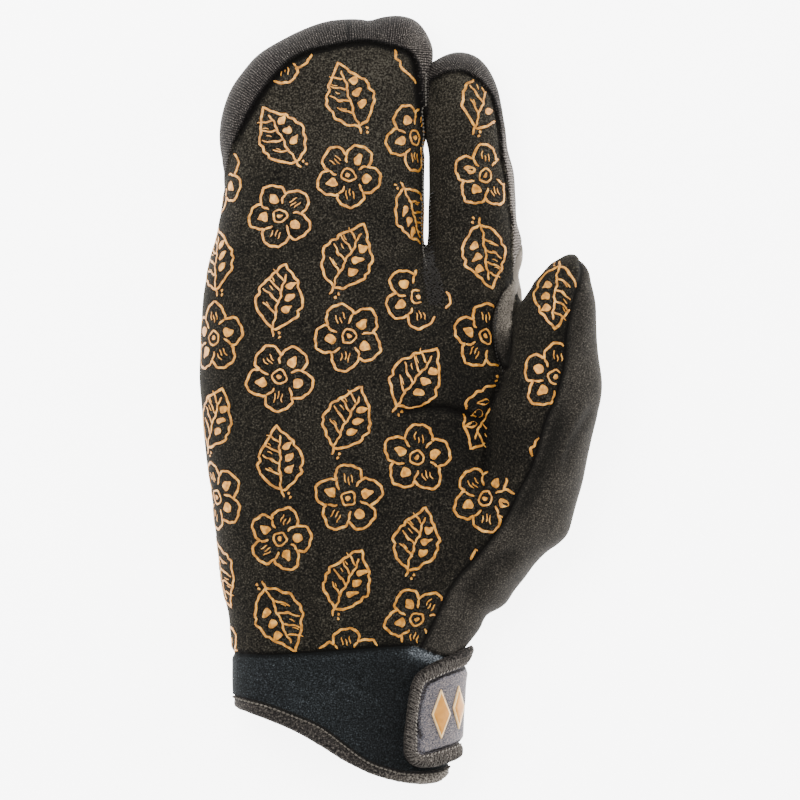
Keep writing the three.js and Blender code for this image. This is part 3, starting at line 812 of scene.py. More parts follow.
def threads(paths: Array, out: Array, radius: float, sides: int = 6) -> Patch:
    """Round threads along paths, tapered at both ends.

    Args:
        paths: centre lines, numbered by thread, point and axis.
        out: the direction away from the cloth, for each thread or for each of its points.
        radius: half a thread's thickness.
        sides: corners of its cross-section.

    Returns:
        All the threads as closed rods.
    """
    ahead = unit(np.gradient(paths, axis=1))
    out = square_to(out if out.ndim == 3 else out[:, None], ahead)
    across = np.cross(ahead, out)
    turn = np.linspace(0, 2 * math.pi, sides, endpoint=False)[:, None]
    ring = np.cos(turn) * out[:, :, None] + np.sin(turn) * across[:, :, None]
    taper = np.ones(paths.shape[1])
    taper[[0, -1]] = THREAD_END
    return tube(paths[:, :, None] + ring * (radius * taper)[:, None, None])


def stitches(middle: Array, ahead: Array, out: Array, length: float, radius: float) -> Patch:
    """Short stitches that dip into the cloth at both ends.

    Args:
        middle: the middle of each.
        ahead: its direction.
        out: the direction away from the cloth.
        length: its length.
        radius: half the thread's thickness.

    Returns:
        All the stitches as closed rods.
    """
    reach = np.array([-0.5, -0.22, 0.22, 0.5])[:, None] * length
    dip = np.array([-0.8, 0.0, 0.0, -0.8])[:, None] * radius
    return threads(middle[:, None] + ahead[:, None] * reach + out[:, None] * dip, out, radius)


def along_line(line: Array, pitch: float, closed: bool = False) -> tuple[Array, Array]:
    """Even points on a line in space and its direction at each."""
    if closed:
        line = np.vstack([line, line[:1]])
    points = even_points(line, pitch)
    return points, unit(np.gradient(points, axis=0))


def edge_loops(patch: Patch) -> list[Array]:
    """The borders of a patch as closed lines of points, the longest first."""
    following: dict[int, int] = {int(a): int(b) for a, b in patch.border()}
    loops = []
    while following:
        start, here = following.popitem()
        numbers = [start]
        while here != start and here in following:
            numbers.append(here)
            here = following.pop(here)
        loops.append(patch.points[numbers])
    return sorted(loops, key=len, reverse=True)


# Finishes


def linear(colour: str) -> tuple[float, float, float, float]:
    """An sRGB hex colour as the linear numbers that a shader takes."""
    parts = [int(colour[i : i + 2], 16) / 255 for i in (1, 3, 5)]
    return (*(c / 12.92 if c <= 0.04045 else ((c + 0.055) / 1.055) ** 2.4 for c in parts), 1.0)


def add_node(tree: Tree, kind: str, settings: dict | None = None, **inputs: object) -> bpy.types.Node:
    """Adds a node with its settings, and its inputs as values or as links.

    Args:
        tree: the material's node tree.
        kind: the node's type, such as ShaderNodeTexNoise.
        settings: attributes of the node.
        inputs: its sockets by name, with _ for a space, or in0, in1 for their number. Each gets
            a value, or an output socket to link.

    Returns:
        The new node.
    """
    made = tree.nodes.new(kind)
    for name, value in (settings or {}).items():
        setattr(made, name, value)
    for name, value in inputs.items():
        by_number = name.startswith("in") and name[2:].isdigit()
        socket = made.inputs[int(name[2:])] if by_number else made.inputs[name.replace("_", " ")]
        if isinstance(value, Socket):
            tree.links.new(value, socket)
        else:
            socket.default_value = value
    return made


def maths(tree: Tree, operation: str, *values: Socket | float) -> Socket:
    """The result of one arithmetic step on sockets or numbers."""
    inputs = {f"in{number}": value for number, value in enumerate(values)}
    return add_node(tree, "ShaderNodeMath", {"operation": operation}, **inputs).outputs[0]


def plus(tree: Tree, value: Socket, weight: float, other: Socket | float = 0.0, extra: float = 0.0) -> Socket:
    """The sum of a weighted value, another one and a constant."""
    return maths(tree, "ADD", maths(tree, "MULTIPLY_ADD", value, weight, extra), other)


def stored(tree: Tree, fact: str) -> Socket:
    """A number stored at each vertex."""
    return add_node(tree, "ShaderNodeAttribute", {"attribute_name": fact}).outputs["Fac"]


def ramp(tree: Tree, factor: Socket, stops: Stops) -> Socket:
    """A colour ramp with sRGB hex colours at its stops."""
    made = add_node(tree, "ShaderNodeValToRGB", Fac=factor)
    elements = made.color_ramp.elements
    while len(elements) < len(stops):
        elements.new(0.5)
    for element, (place, colour) in zip(elements, stops):
        element.position = place
        element.color = linear(colour)
    return made.outputs["Color"]


@dataclass(frozen=True)
class Finish:
    """What a piece is made of.

    Attributes:
        name: the material's name.
        slot: the record's material slot; not used.
        roughness: how matt it is.
    """

    name: str
    slot: str
    roughness: float

    def material(self) -> bpy.types.Material:
        """The material, made once and shared by the pieces that have it."""
        known = bpy.data.materials.get(self.name)
        if known:
            return known
        made = bpy.data.materials.new(self.name)
        made.use_nodes = True
        tree = made.node_tree
        tree.nodes.clear()
        shader = add_node(tree, "ShaderNodeBsdfPrincipled", Roughness=self.roughness)
        output = add_node(tree, "ShaderNodeOutputMaterial", Surface=shader.outputs[0])
        output.location = (400, 0)
        self.dress(tree, shader)
        return made

    def dress(self, tree: Tree, shader: bpy.types.Node) -> None:
        """Adds the finish's own nodes to the shader."""
        raise NotImplementedError

    def speckle(self, tree: Tree, size_mm: float, detail: float = 2.0) -> Socket:
        """Noise whose lumps have a real size, read in the object's own space."""
        place = add_node(tree, "ShaderNodeTexCoord").outputs["Object"]
        noise = add_node(tree, "ShaderNodeTexNoise", Vector=place, Scale=1 / (size_mm * MM), Detail=detail)
        return noise.outputs["Fac"]


@dataclass(frozen=True)
class Cloth(Finish):
    """A cloth shown by its finest grain, made darker by painted shade and paler by painted light stored at
    its vertices.

    Attributes:
        grain_mm: size of its fibres or loops.
        stops: the grain's shades from its hollows to its tops, each with its height.
        bump: strength and height in millimetres of the grain.
        sheen: how much the cloth lights up where it turns away, and in what tint.
        broad_shade: how much broad patches of its nap differ in shade.
        gloss: its specular level.
        nap_mm: size of those patches.
        crease_depth: how far down the shades the painted shade goes, and how far up them the painted light.
        sheen_spread: how broad the sheen is.
    """

    grain_mm: float = 0.5
    stops: Stops = ((0.0, "#000000"), (1.0, "#ffffff"))
    bump: tuple[float, float] = (0.4, 0.2)
    sheen: tuple[float, str] = (0.08, "#a59b90")
    broad_shade: float = 0.0
    gloss: float = 0.1
    nap_mm: float = 16.0
    crease_depth: float = 0.42
    sheen_spread: float = 0.45

    def dress(self, tree: Tree, shader: bpy.types.Node) -> None:
        """Adds up the grain, the patches and the painted shading, and turns the sum into a shade."""
        grain = self.grain(tree)
        patches = self.speckle(tree, self.nap_mm, 2.0)
        total = plus(tree, patches, self.broad_shade, grain, -0.5 * self.broad_shade)
        # Painted shade and painted light, stored at each vertex, move the cloth down or up its shades.
        total = plus(tree, stored(tree, "crease"), -self.crease_depth, total)
        strength, high = self.bump
        bump = add_node(tree, "ShaderNodeBump", Strength=strength, Distance=high * MM, Height=grain)
        tree.links.new(ramp(tree, total, self.stops), shader.inputs["Base Color"])
        tree.links.new(bump.outputs[0], shader.inputs["Normal"])
        shader.inputs["Specular IOR Level"].default_value = self.gloss
        shader.inputs["Sheen Weight"].default_value = self.sheen[0]
        shader.inputs["Sheen Roughness"].default_value = self.sheen_spread
        shader.inputs["Sheen Tint"].default_value = linear(self.sheen[1])

    def grain(self, tree: Tree) -> Socket:
        """The height of the cloth's finest structure, about 0.5 in the middle."""
        return self.speckle(tree, self.grain_mm, 3.0)


@dataclass(frozen=True)
class RibbedKnit(Cloth):
    """Ribbed knit: light ribs of small loops across the band, with dark furrows between them.

    Attributes:
        rib_mm: from one rib to the next.
        loop_mm: from one loop to the next along a rib.
        rib_high: how much the ribs count in the grain.
        loop_high: how much the loops do.
        bend_mm: size of the yarn's unevenness.
        bend: how far it bends the ribs, in millimetres.
    """

    rib_mm: float = 0.92
    loop_mm: float = 0.86
    rib_high: float = 0.2
    loop_high: float = 0.15
    bend_mm: float = 1.6
    bend: float = 1.1

    def grain(self, tree: Tree) -> Socket:
        """Ribs and loops as waves over the distances stored at each vertex, with uneven yarn."""
        total = plus(tree, self.speckle(tree, self.grain_mm, 2.0), 1.0)
        uneven = self.speckle(tree, self.bend_mm, 2.0)
        rows = (("across", self.rib_mm, self.rib_high), ("along", self.loop_mm, self.loop_high))
        for fact, pitch, weight in rows:
            bent = plus(tree, uneven, self.bend, stored(tree, fact))
            wave = maths(tree, "COSINE", maths(tree, "MULTIPLY", bent, 2 * math.pi / pitch))
            total = plus(tree, wave, weight, total)
        return total


@dataclass(frozen=True)
class Speckled(Finish):
    """An even surface whose shade wanders a little, in specks of a real size.

    Attributes:
        stops: its shades, each with the specks' height.
        gloss: its specular level.
        speck_mm: size of the specks.
        detail: how ragged they are.
        metal: how metallic it looks.
    """

    stops: Stops = ((0.0, "#000000"), (1.0, "#ffffff"))
    gloss: float = 0.5
    speck_mm: float = 1.0
    detail: float = 1.0
    metal: float = 0.0

    def dress(self, tree: Tree, shader: bpy.types.Node) -> None:
        """Turns the specks into shades."""
        colour = ramp(tree, self.speckle(tree, self.speck_mm, self.detail), self.stops)
        tree.links.new(colour, shader.inputs["Base Color"])
        shader.inputs["Metallic"].default_value = self.metal
        shader.inputs["Specular IOR Level"].default_value = self.gloss


@dataclass(frozen=True)
class MetallicInk(Speckled):
    """Metallic gold screen ink: tan, half matt, brighter and duller in blotches where it lies thicker."""

    stops: Stops = ((0.34, "#94601a"), (0.5, "#bd7e2a"), (0.72, "#dba650"))
    gloss: float = 0.3
    speck_mm: float = 1.6
    detail: float = 3.0
    metal: float = 0.15


@dataclass(frozen=True)
class MouldedRubber(Speckled):
    """Moulded silicone rubber: one tone with a hardly visible mottle and a faint satin gloss."""

    stops: Stops = ((0.35, "#b47620"), (0.65, "#c08128"))
    speck_mm: float = 2.0


@dataclass(frozen=True)
class SpunThread(Speckled):
    """Spun polyester thread: twisted fibre bundles, with a small glint on each stitch."""

    gloss: float = 0.45
    speck_mm: float = 0.25


# Short nap that lies in patches, its tufts about half a millimetre across.
SUEDE = Cloth(
    "brushed_suede_microfibre", "palm_suede", 0.95, 0.6,
    ((0.34, "#070605"), (0.43, "#0f0e0b"), (0.51, "#181612"), (0.6, "#25221c"), (0.7, "#3b3831")),
    (0.7, 0.25), (0.06, "#8d8577"), 0.16, 0.08,
)
# Smooth and tightly woven, with a soft sheen at its edges. Drawn coarser than its real 0.25 mm.
SOFTSHELL = Cloth(
    "woven_softshell", "softshell", 0.85, 0.5,
    ((0.32, "#11100e"), (0.45, "#201e1b"), (0.55, "#2b2824"), (0.7, "#45413b"), (0.95, "#736c63")),
    (0.4, 0.12), (0.05, "#b7afa6"), 0.12, 0.06,
)
# Ribs of small loops round the fingertips.
KNIT = RibbedKnit(
    "ribbed_polyester_knit", "ribbed_knit", 0.9, 0.5,
    ((0.12, "#020202"), (0.4, "#100e0d"), (0.62, "#221f1d"), (0.85, "#4a4541"), (1.0, "#756e67")),
    (0.6, 0.25), (0.06, "#a89f98"),
)
# Blue-black and dull, with a fine blue-grey speckle of knit loops.
NEOPRENE = Cloth(
    "neoprene_jersey", "neoprene", 0.9, 0.5,
    ((0.34, "#070808"), (0.5, "#151718"), (0.6, "#202325"), (0.72, "#383c3f"), (1.0, "#7b7f84")),
    (0.5, 0.2), (0.05, "#83888f"), 0.1,
)
# Fuzzy brown-grey loops, some light and some dark.
BINDING = Cloth(
    "knitted_binding_tape", "binding_tape", 0.9, 0.65,
    ((0.32, "#0c0b0a"), (0.5, "#242120"), (0.6, "#37332f"), (0.72, "#5a554f"), (1.0, "#8f887f")),
    (0.8, 0.3), (0.12, "#a59b90"),
)
# The same tape at the strap, painted lighter as a lit copy of it.
STRAP_BINDING_PAINTED_LIGHTER = Cloth(
    "knitted_strap_edging", "binding_tape", 0.9, 0.6,
    ((0.3, "#0b0a09"), (0.5, "#35312e"), (0.6, "#57514c"), (0.72, "#8f877f")),
    (0.9, 0.3), (0.1, "#a59b90"),
)
# Brushed loops in mid grey, with bluish and reddish flecks.
STRAP_FACE = Cloth(
    "brushed_loop_face", "strap_face", 0.85, 0.45,
    (
        (0.05, "#0c0b0b"), (0.3, "#343132"), (0.44, "#525259"), (0.52, "#635c5c"), (0.6, "#6f6866"),
        (0.72, "#958b88"),
    ),
    (0.4, 0.12), (0.08, "#b9b2ae"), 0.1,
)
INK = MetallicInk("metallic_screen_ink", "palm_suede", 0.45)
RUBBER = MouldedRubber("moulded_silicone_rubber", "rubber_print", 0.5)
# The emblem's rim, where the rubber is thin and cream.
PALE_RUBBER = MouldedRubber(
    "pale_silicone_rubber", "rubber_print", 0.5, ((0.35, "#d3ab6d"), (0.65, "#e0bd84"))
)
# Black with few glints, for the bar tack and the web.
BLACK_THREAD = SpunThread(
    "black_spun_thread", "palm_suede", 0.5, ((0.35, "#020202"), (0.65, "#2b2824")), 0.2
)
# Dark and half glossy, for the beads along the slit, with grey painted in for their glints.
SEAM_THREAD = SpunThread(
    "dark_grey_spun_thread", "palm_suede", 0.5, ((0.35, "#171614"), (0.65, "#6a655d"))
)
# Matt greys, rising in tone: the hem's stitches, the strap's overlock and the loops inside it.
GREY_THREAD = SpunThread(
    "grey_spun_thread", "binding_tape", 0.8, ((0.35, "#26231f"), (0.65, "#655f57")), 0.2
)
EDGE_THREAD = SpunThread(
    "light_spun_thread", "binding_tape", 0.8, ((0.35, "#2a2725"), (0.65, "#5c5751")), 0.2
)
LOOP_THREAD = SpunThread(
    "pale_spun_thread", "binding_tape", 0.8, ((0.35, "#4a4540"), (0.65, "#989189")), 0.2
)


# The hand's panels


@dataclass(frozen=True)
class Fold:
    """A fold in the cloth: a furrow along a line, with a swelling beside it.

    Attributes:
        path: points on the furrow in plan.
        width: how wide the furrow is.
        depth: how deep it is.
        swell: how high the swelling to the right of the path's direction stands.
        swell_width: how wide the swelling is.
        lowest: height below which it fades away, so that it stays on the palm's side.
    """

    path: tuple[tuple[float, float], ...]
    width: float
    depth: float
    swell: float = 0.0
    swell_width: float = 6.0
    lowest: float = 18.0

    def read(self, points: Array) -> tuple[Array, Array]:
        """How far each point moves outward, and how deep in the furrow it is, from 0 to 1."""
        line = smooth_curve(list(self.path), 1.5)
        reach = 2.5 * max(self.width, self.swell_width * 1.4)
        low, high = line.min(axis=0) - reach, line.max(axis=0) + reach
        near = ((points[:, :2] > low) & (points[:, :2] < high)).all(axis=1) & (points[:, 2] > self.lowest - 5)
        move, furrow = np.zeros(len(points)), np.zeros(len(points))
        if near.any():
            away, along, side = line_distance(line, points[near, :2])
            length = float(np.linalg.norm(np.diff(line, axis=0), axis=1).sum())
            fade = smoothstep(0, 0.25 * length, along) * smoothstep(length, 0.75 * length, along)
            fade = fade * smoothstep(self.lowest - 5, self.lowest + 3, points[near, 2])
            beside = bell(side * away + self.swell_width * 0.9, self.swell_width)
            furrow[near] = fade * bell(away, self.width)
            move[near] = fade * self.swell * beside - self.depth * furrow[near]
        return move, furrow


FOLDS = (
    Fold(((33, -11), (27, -6.6), (20, -3.6), (12, -2.2), (4, -3.2), (-4, -7)), 1.2, 2.2, 1.6, 6.5),
    Fold(((38, 13), (33.7, 4.1), (31.2, -1), (29.9, -6), (29.9, -14), (29.2, -24), (26, -36)), 1.2, 0.9),
    Fold(((50, 4), (54, 16), (58, 30), (60.5, 42)), 3.2, 1.0, 1.0, 5.0),
    Fold(((36, -46), (44, -33), (49.5, -21), (53.5, -9), (56.6, 4)), 2.6, 1.9, 1.2, 5.0),
    Fold(((68.5, 0), (62.5, -6.5), (57.5, -15), (54.5, -27)), 2.2, 0.9, 1.1, 4.5, 8.0),
    Fold(((20, -70), (27, -62), (34, -55), (43, -50)), 2.6, 1.2, 1.1, 5.0, 8.0),
    Fold(((22, -84), (17, -89.5), (10, -90.5), (2, -89.5)), 1.6, 0.0, 1.4, 4.0),
)


class Zone(Enum):
    """Areas of the hand in plan, each closed from a seam or an edge."""

    PALM_SIDE = "the printed side with its ribbed bands"
    TIP_BAND = "the ribbed band of the three-finger pocket"
    INDEX_BAND = "the ribbed band of the index finger"
    CUFF = "below the seam between hand and cuff"
    BINDING = "below the upper edge of the hem binding"
    BEYOND_HEM = "beyond the hem"


@dataclass
class HandShell:
    """The hand's outer surface, cut along its seams into panels.

    Attributes:
        form: the mitten's form.
        grid: size of the mesh's cells.
        wall: thickness of the cloth as it shows at an edge.
        side_seam_z: height of the palm-to-back seam along the little finger's side.
        thumb_seam_z: height of the same seam under the thumb.
        pinch: how deep the cloth is drawn in at a seam.
        pinch_width: how wide that furrow is.
        band_swell: how far the knitted bands stand out.
        slit_swell: how far each side of the slit swells where the fingers touch.
        hollow: depth of the palm's hollow beside the ball of the thumb.
        seam_painted_shade: how dark the painted shade in a seam is.
        join_dark: how dark the painted shade along the join of the tip band's two pieces is.
        fold_painted_shade: how dark the painted shade in a fold is for each millimetre of its depth.
        web_painted_highlight: how pale the painted highlight on the web is.
        index_pale: how pale the painted highlight on the index finger's outer strip is.
        tip_painted_shading: how pale the painted light on the tip band beside the slit is, and how dark the
            painted shade at its upper edge.
        crown_painted_highlight: how pale the painted highlight is on the cuff where it bulges under the ball
            of the thumb.
        hollow_painted_shade: how dark the painted shade in the palm's hollow is.
        finger_pale: how pale the painted light towards the fingertips is.
        strap_painted_shadow: how dark the painted shadow on the cuff beside the strap is.
    """

    form: MittenForm
    grid: float = 1.0
    wall: float = 1.8
    side_seam_z: float = 9.0
    thumb_seam_z: float = 22.0
    pinch: float = 0.9
    pinch_width: float = 1.2
    band_swell: float = 0.75
    slit_swell: float = 2.0
    hollow: float = 1.5
    seam_painted_shade: float = 0.75
    join_dark: float = 0.7
    fold_painted_shade: float = 0.2
    web_painted_highlight: float = 1.1
    index_pale: float = 0.9
    tip_painted_shading: float = 0.3
    crown_painted_highlight: float = 0.62
    hollow_painted_shade: float = 0.2
    finger_pale: float = 0.16
    strap_painted_shadow: float = 0.2

    def __post_init__(self) -> None:
        """Samples the seams and closes them into zones."""
        web, thumb, self.tip, self.index = (
            smooth_curve(rows, 1.5) for rows in (WEB_SEAM, THUMB_SEAM, TIP_BAND_SEAM, INDEX_BAND_SEAM)
        )
        beside = [(-80, -110), (-80, 145), (50, 145), (50, 60)]
        below = [(40, -190), (-80, -190)]
        self.zones = {
            Zone.PALM_SIDE: np.vstack([beside, web, thumb, [(-2, -110)]]),
            Zone.TIP_BAND: np.vstack([self.tip, [(SLIT_X, 145), (-80, 145), (-80, 62)]]),
            Zone.INDEX_BAND: np.vstack([self.index, [(44.5, 50), (50, 62), (50, 145), (SLIT_X, 145)]]),
            Zone.CUFF: np.vstack([smooth_curve(CUFF_SEAM, 2.0), below]),
            Zone.BINDING: np.vstack([smooth_curve(BINDING_TOP, 1.5), below]),
            Zone.BEYOND_HEM: np.vstack([smooth_curve(HEM, 1.5), below]),
        }

    def inside(self, zone: Zone, points: Array) -> Array:
        """How far points are inside a zone, negative outside it."""
        return zone_depth(self.zones[zone], points[:, :2])

    def side_seam(self, points: Array) -> Array:
        """How far points are above the palm-to-back seam."""
        x, y, z = points.T
        thumb_side = smoothstep(20, 36, x) * smoothstep(-60, -10, y)
        above_web = smoothstep(48, 60, y) * (1 - smoothstep(42, 46, x))
        rise = (self.thumb_seam_z - self.side_seam_z) * thumb_side * (1 - above_web)
        return z - self.side_seam_z - rise

    def front(self, points: Array) -> Array:
        """How far points are inside the printed side with its ribbed bands."""
        return np.minimum(self.side_seam(points), self.inside(Zone.PALM_SIDE, points))

    def in_bands(self, points: Array) -> Array:
        """How far points are inside either ribbed band."""
        return np.maximum(self.inside(Zone.TIP_BAND, points), self.inside(Zone.INDEX_BAND, points))

    def on_palm(self, points: Array) -> Array:
        """How far points are inside the printed panel, away from all its seams."""
        above_cuff = -self.inside(Zone.CUFF, points)
        return np.minimum(np.minimum(self.front(points), -self.in_bands(points)), above_cuff)

    def seam_distance(self, points: Array) -> Array:
        """Distance to the seam round the palm's side or to the cuff's, whichever is nearer."""
        below = self.inside(Zone.CUFF, points)
        return np.where(below > 0, below, np.minimum(np.abs(self.front(points)), np.abs(below)))

    def band_depth(self, points: Array) -> Array:
        """Distance from the seam of the bands, positive on a band and the same across the slit."""
        at_tip = points[:, 0] < SLIT_X
        away = np.where(at_tip, away_from(self.tip, points), away_from(self.index, points))
        return np.where(self.in_bands(points) > 0, away, -away)

    def band_fade(self, points: Array) -> tuple[Array, Array]:
        """How much of the bands' swelling and of their furrow is left towards their lower ends."""
        x, y, _ = points.T
        tip = x < SLIT_X
        swell = np.where(tip, smoothstep(66, 90, y), smoothstep(40, 56, y))
        furrow = np.where(tip, smoothstep(82, 100, y), 0.5 * smoothstep(44, 80, y))
        return swell, np.where(tip & (x > -20), 1.0, furrow)

    def relief(self, points: Array) -> Array:
        """How far the cloth lies outside the smooth form at points on it."""
        x, y, _ = points.T
        away, band = self.seam_distance(points), self.band_depth(points)
        palm_side = (band < 0) & (self.front(points) > -1)
        lumps = sum(high * ripple(points, length, seed) for high, length, seed in LUMPS)
        high, length, seed = PUCKERS
        pucker = high * ripple(points, length, seed) * bell(np.minimum(away, np.abs(band)), 4.0)
        total = lumps + pucker - self.pinch * bell(away, self.pinch_width)
        swell, furrow = self.band_fade(points)
        total += self.band_swell * swell * smoothstep(-0.2, 0.2, band)
        total -= self.pinch * furrow * bell(band, 1.3) * palm_side
        touching = smoothstep(84, 94, y) * smoothstep(129, 120, y)
        total += self.slit_swell * touching * bell(x - SLIT_X, 2.2)
        total -= self.hollow * bell(np.hypot((x - 11) / 1.0, (y + 22) / 1.9), 15.0)
        for fold in FOLDS:
            total += fold.read(points)[0]
        return total

    def crease(self, points: Array) -> Array:
        """Painted shade at points, up to 1, and below 0 painted light."""
        return self.drawn_in(points) + self.broad_shade(points) - self.painted_highlights(points)

    def drawn_in(self, points: Array) -> Array:
        """Painted shade in the seams, under the bands' edges, along the tip band's join and in the folds."""
        x = points[:, 0]
        band, below = self.band_depth(points), self.inside(Zone.CUFF, points)
        # Painted shadow under the bands' raised edges.
        band_painted_shadow = np.where(x < SLIT_X, bell(band + 0.5, 1.1), bell(band, 0.5))
        band_painted_shadow = band_painted_shadow * self.band_fade(points)[1] * (self.front(points) > -1)
        band_painted_shadow = band_painted_shadow * np.where(band < 0, 1.0, bell(band, 0.6))
        # Painted shade along the join and in the seams, with less on the cuff's right and under the painted
        # highlight on the web.
        join = self.join_dark * bell(x - TIP_BAND_JOIN_X, 0.5) * (band > 0)
        seam = self.seam_painted_shade * bell(self.seam_distance(points), 0.7)
        seam = seam * (1 - smoothstep(1, 5, x) * (below > 0))
        seam = seam * (1 - 0.85 * bell(away_from(WEB_PAINTED_HIGHLIGHT, points), 9.0))
        deepest = np.maximum(np.maximum(seam, band_painted_shadow), join)
        # Painted shade in each fold, darker for a deeper fold.
        for fold in FOLDS:
            dark = min(self.fold_painted_shade * fold.depth, 0.6)
            deepest = np.maximum(deepest, dark * fold.read(points)[1])
        return deepest

    def painted_highlights(self, points: Array) -> Array:
        """Painted highlights on the web, the index finger's outer strip, the tip band beside the slit and the
        cuff's crown, less painted shade at the tip band's upper edge.
        """
        x, y, z = points.T
        web = self.web_painted_highlight * bell(away_from(WEB_PAINTED_HIGHLIGHT, points), 7.5) * smoothstep(12, 18, z)
        strip = self.index_pale * smoothstep(33, 37, x) * smoothstep(108, 88, y) * smoothstep(12, 20, z)
        tip = self.tip_painted_shading * (smoothstep(-2, 4, x) * (x < SLIT_X) - smoothstep(124, 134, y))
        crown = self.crown_painted_highlight * bell(away_from(CUFF_CROWN, points), 2.4)
        pale = web * (self.front(points) < 0) + crown * (self.inside(Zone.CUFF, points) > 0)
        return pale + (strip + tip) * (self.band_depth(points) > 0)

    def broad_shade(self, points: Array) -> Array:
        """Painted shade in the palm's hollow and on the cuff beside the strap, and painted light towards the
        fingertips.
        """
        x, y, _ = points.T
        hollow = self.hollow_painted_shade * bell(np.hypot(x - 20, (y + 8) / 1.6), 16.0) * (self.front(points) > 0)
        fingers = self.finger_pale * smoothstep(45, 110, y) * (self.band_depth(points) < 0)
        strap = self.strap_painted_shadow * smoothstep(-22, -2, x) * smoothstep(2, 8, self.inside(Zone.CUFF, points))
        return hollow - fingers + strap

    def place(self, points: Array, lift: Array | float = 0.0) -> Array:
        """Points of the smooth form moved on to the cloth, and lift above it."""
        out = self.form.normal(points)
        moved = points + out * (self.relief(points) + lift)[:, None]
        moved[:, 2] = np.maximum(moved[:, 2], 0.03)
        return moved

    def panels(self) -> dict[str, Patch]:
        """Cuts the smooth surface into its panels.

        Returns:
            The smooth patch of each panel by node name.
        """
        g = self.grid
        axes = [
            grid_lines((-72, 6.2, g), (6.2, 12.2, g / 2), (12.2, 73, g)),
            grid_lines((-138, 136, g)),
            grid_lines((-3, 47, g)),
        ]
        whole, _ = mesh_form(self.form, axes).cut(lambda p: -self.inside(Zone.BEYOND_HEM, p))
        wrist, hand = whole.cut(lambda p: self.inside(Zone.CUFF, p))
        binding, cuff = wrist.cut(lambda p: self.inside(Zone.BINDING, p))
        front, back = hand.cut(self.front)
        tip, rest = front.cut(lambda p: self.inside(Zone.TIP_BAND, p))
        index, palm = rest.cut(lambda p: self.inside(Zone.INDEX_BAND, p))
        outer, inner = tip.cut(lambda p: TIP_BAND_JOIN_X - p[:, 0])
        return {
            "palm_panel": palm,
            "back_shell": back,
            "tip_band_outer": outer,
            "tip_band_inner": inner,
            "index_band": index,
            "cuff": cuff,
            "hem_binding": binding,
        }

    def close(self, smooth: Patch) -> Patch:
        """A panel of cloth of the wall's thickness over a smooth patch."""
        inner = self.place(smooth.points, -self.wall)
        inner[:, 2] = np.maximum(inner[:, 2], self.wall * 0.9)
        return Patch(self.place(smooth.points), smooth.faces).thick(inner)

    def build(self) -> None:
        """Makes the printed palm and the plain back."""
        self.smooth = self.panels()
        for name, finish in (("palm_panel", SUEDE), ("back_shell", SOFTSHELL)):
            smooth = self.smooth[name]
            piece = show(name + "_cloth", self.close(smooth), finish, crease=self.crease(smooth.points))
            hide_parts(name)


@dataclass
class RibbedBands:
    """The ribbed knit bands round the fingertips.

    Attributes:
        shell: the hand they are cut from.
        sag: how much thinner than the hand's wall they are.
        side_share: how much a step down the band's side counts along its ribs.
    """

    shell: HandShell
    sag: float = 0.2
    side_share: float = 0.9

    def build(self) -> None:
        """Makes the three bands, whose ribs stand across a line that follows each band."""
        for name, rows in RIB_LINES.items():
            self.band(name, smooth_curve(rows, 1.0))

    def band(self, name: str, line: Array) -> None:
        """Makes one band.

        Args:
            name: the band's node.
            line: the line that its ribs stand across.
        """
        smooth = self.shell.smooth[name].finer()
        smooth.points = self.shell.form.settle(smooth.points, passes=1)
        away, across, _ = line_distance(line, smooth.points[:, :2])
        along = away + self.side_share * smooth.points[:, 2]
        outer = Patch(self.shell.place(smooth.points), smooth.faces)
        knit = outer.thick(self.shell.place(smooth.points, self.sag - self.shell.wall))
        # Painted shade and painted light for the knit.
        crease = self.shell.crease(smooth.points)
        piece = show(name + "_knit", knit, KNIT, across=across, along=along, crease=crease)
        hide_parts(name)


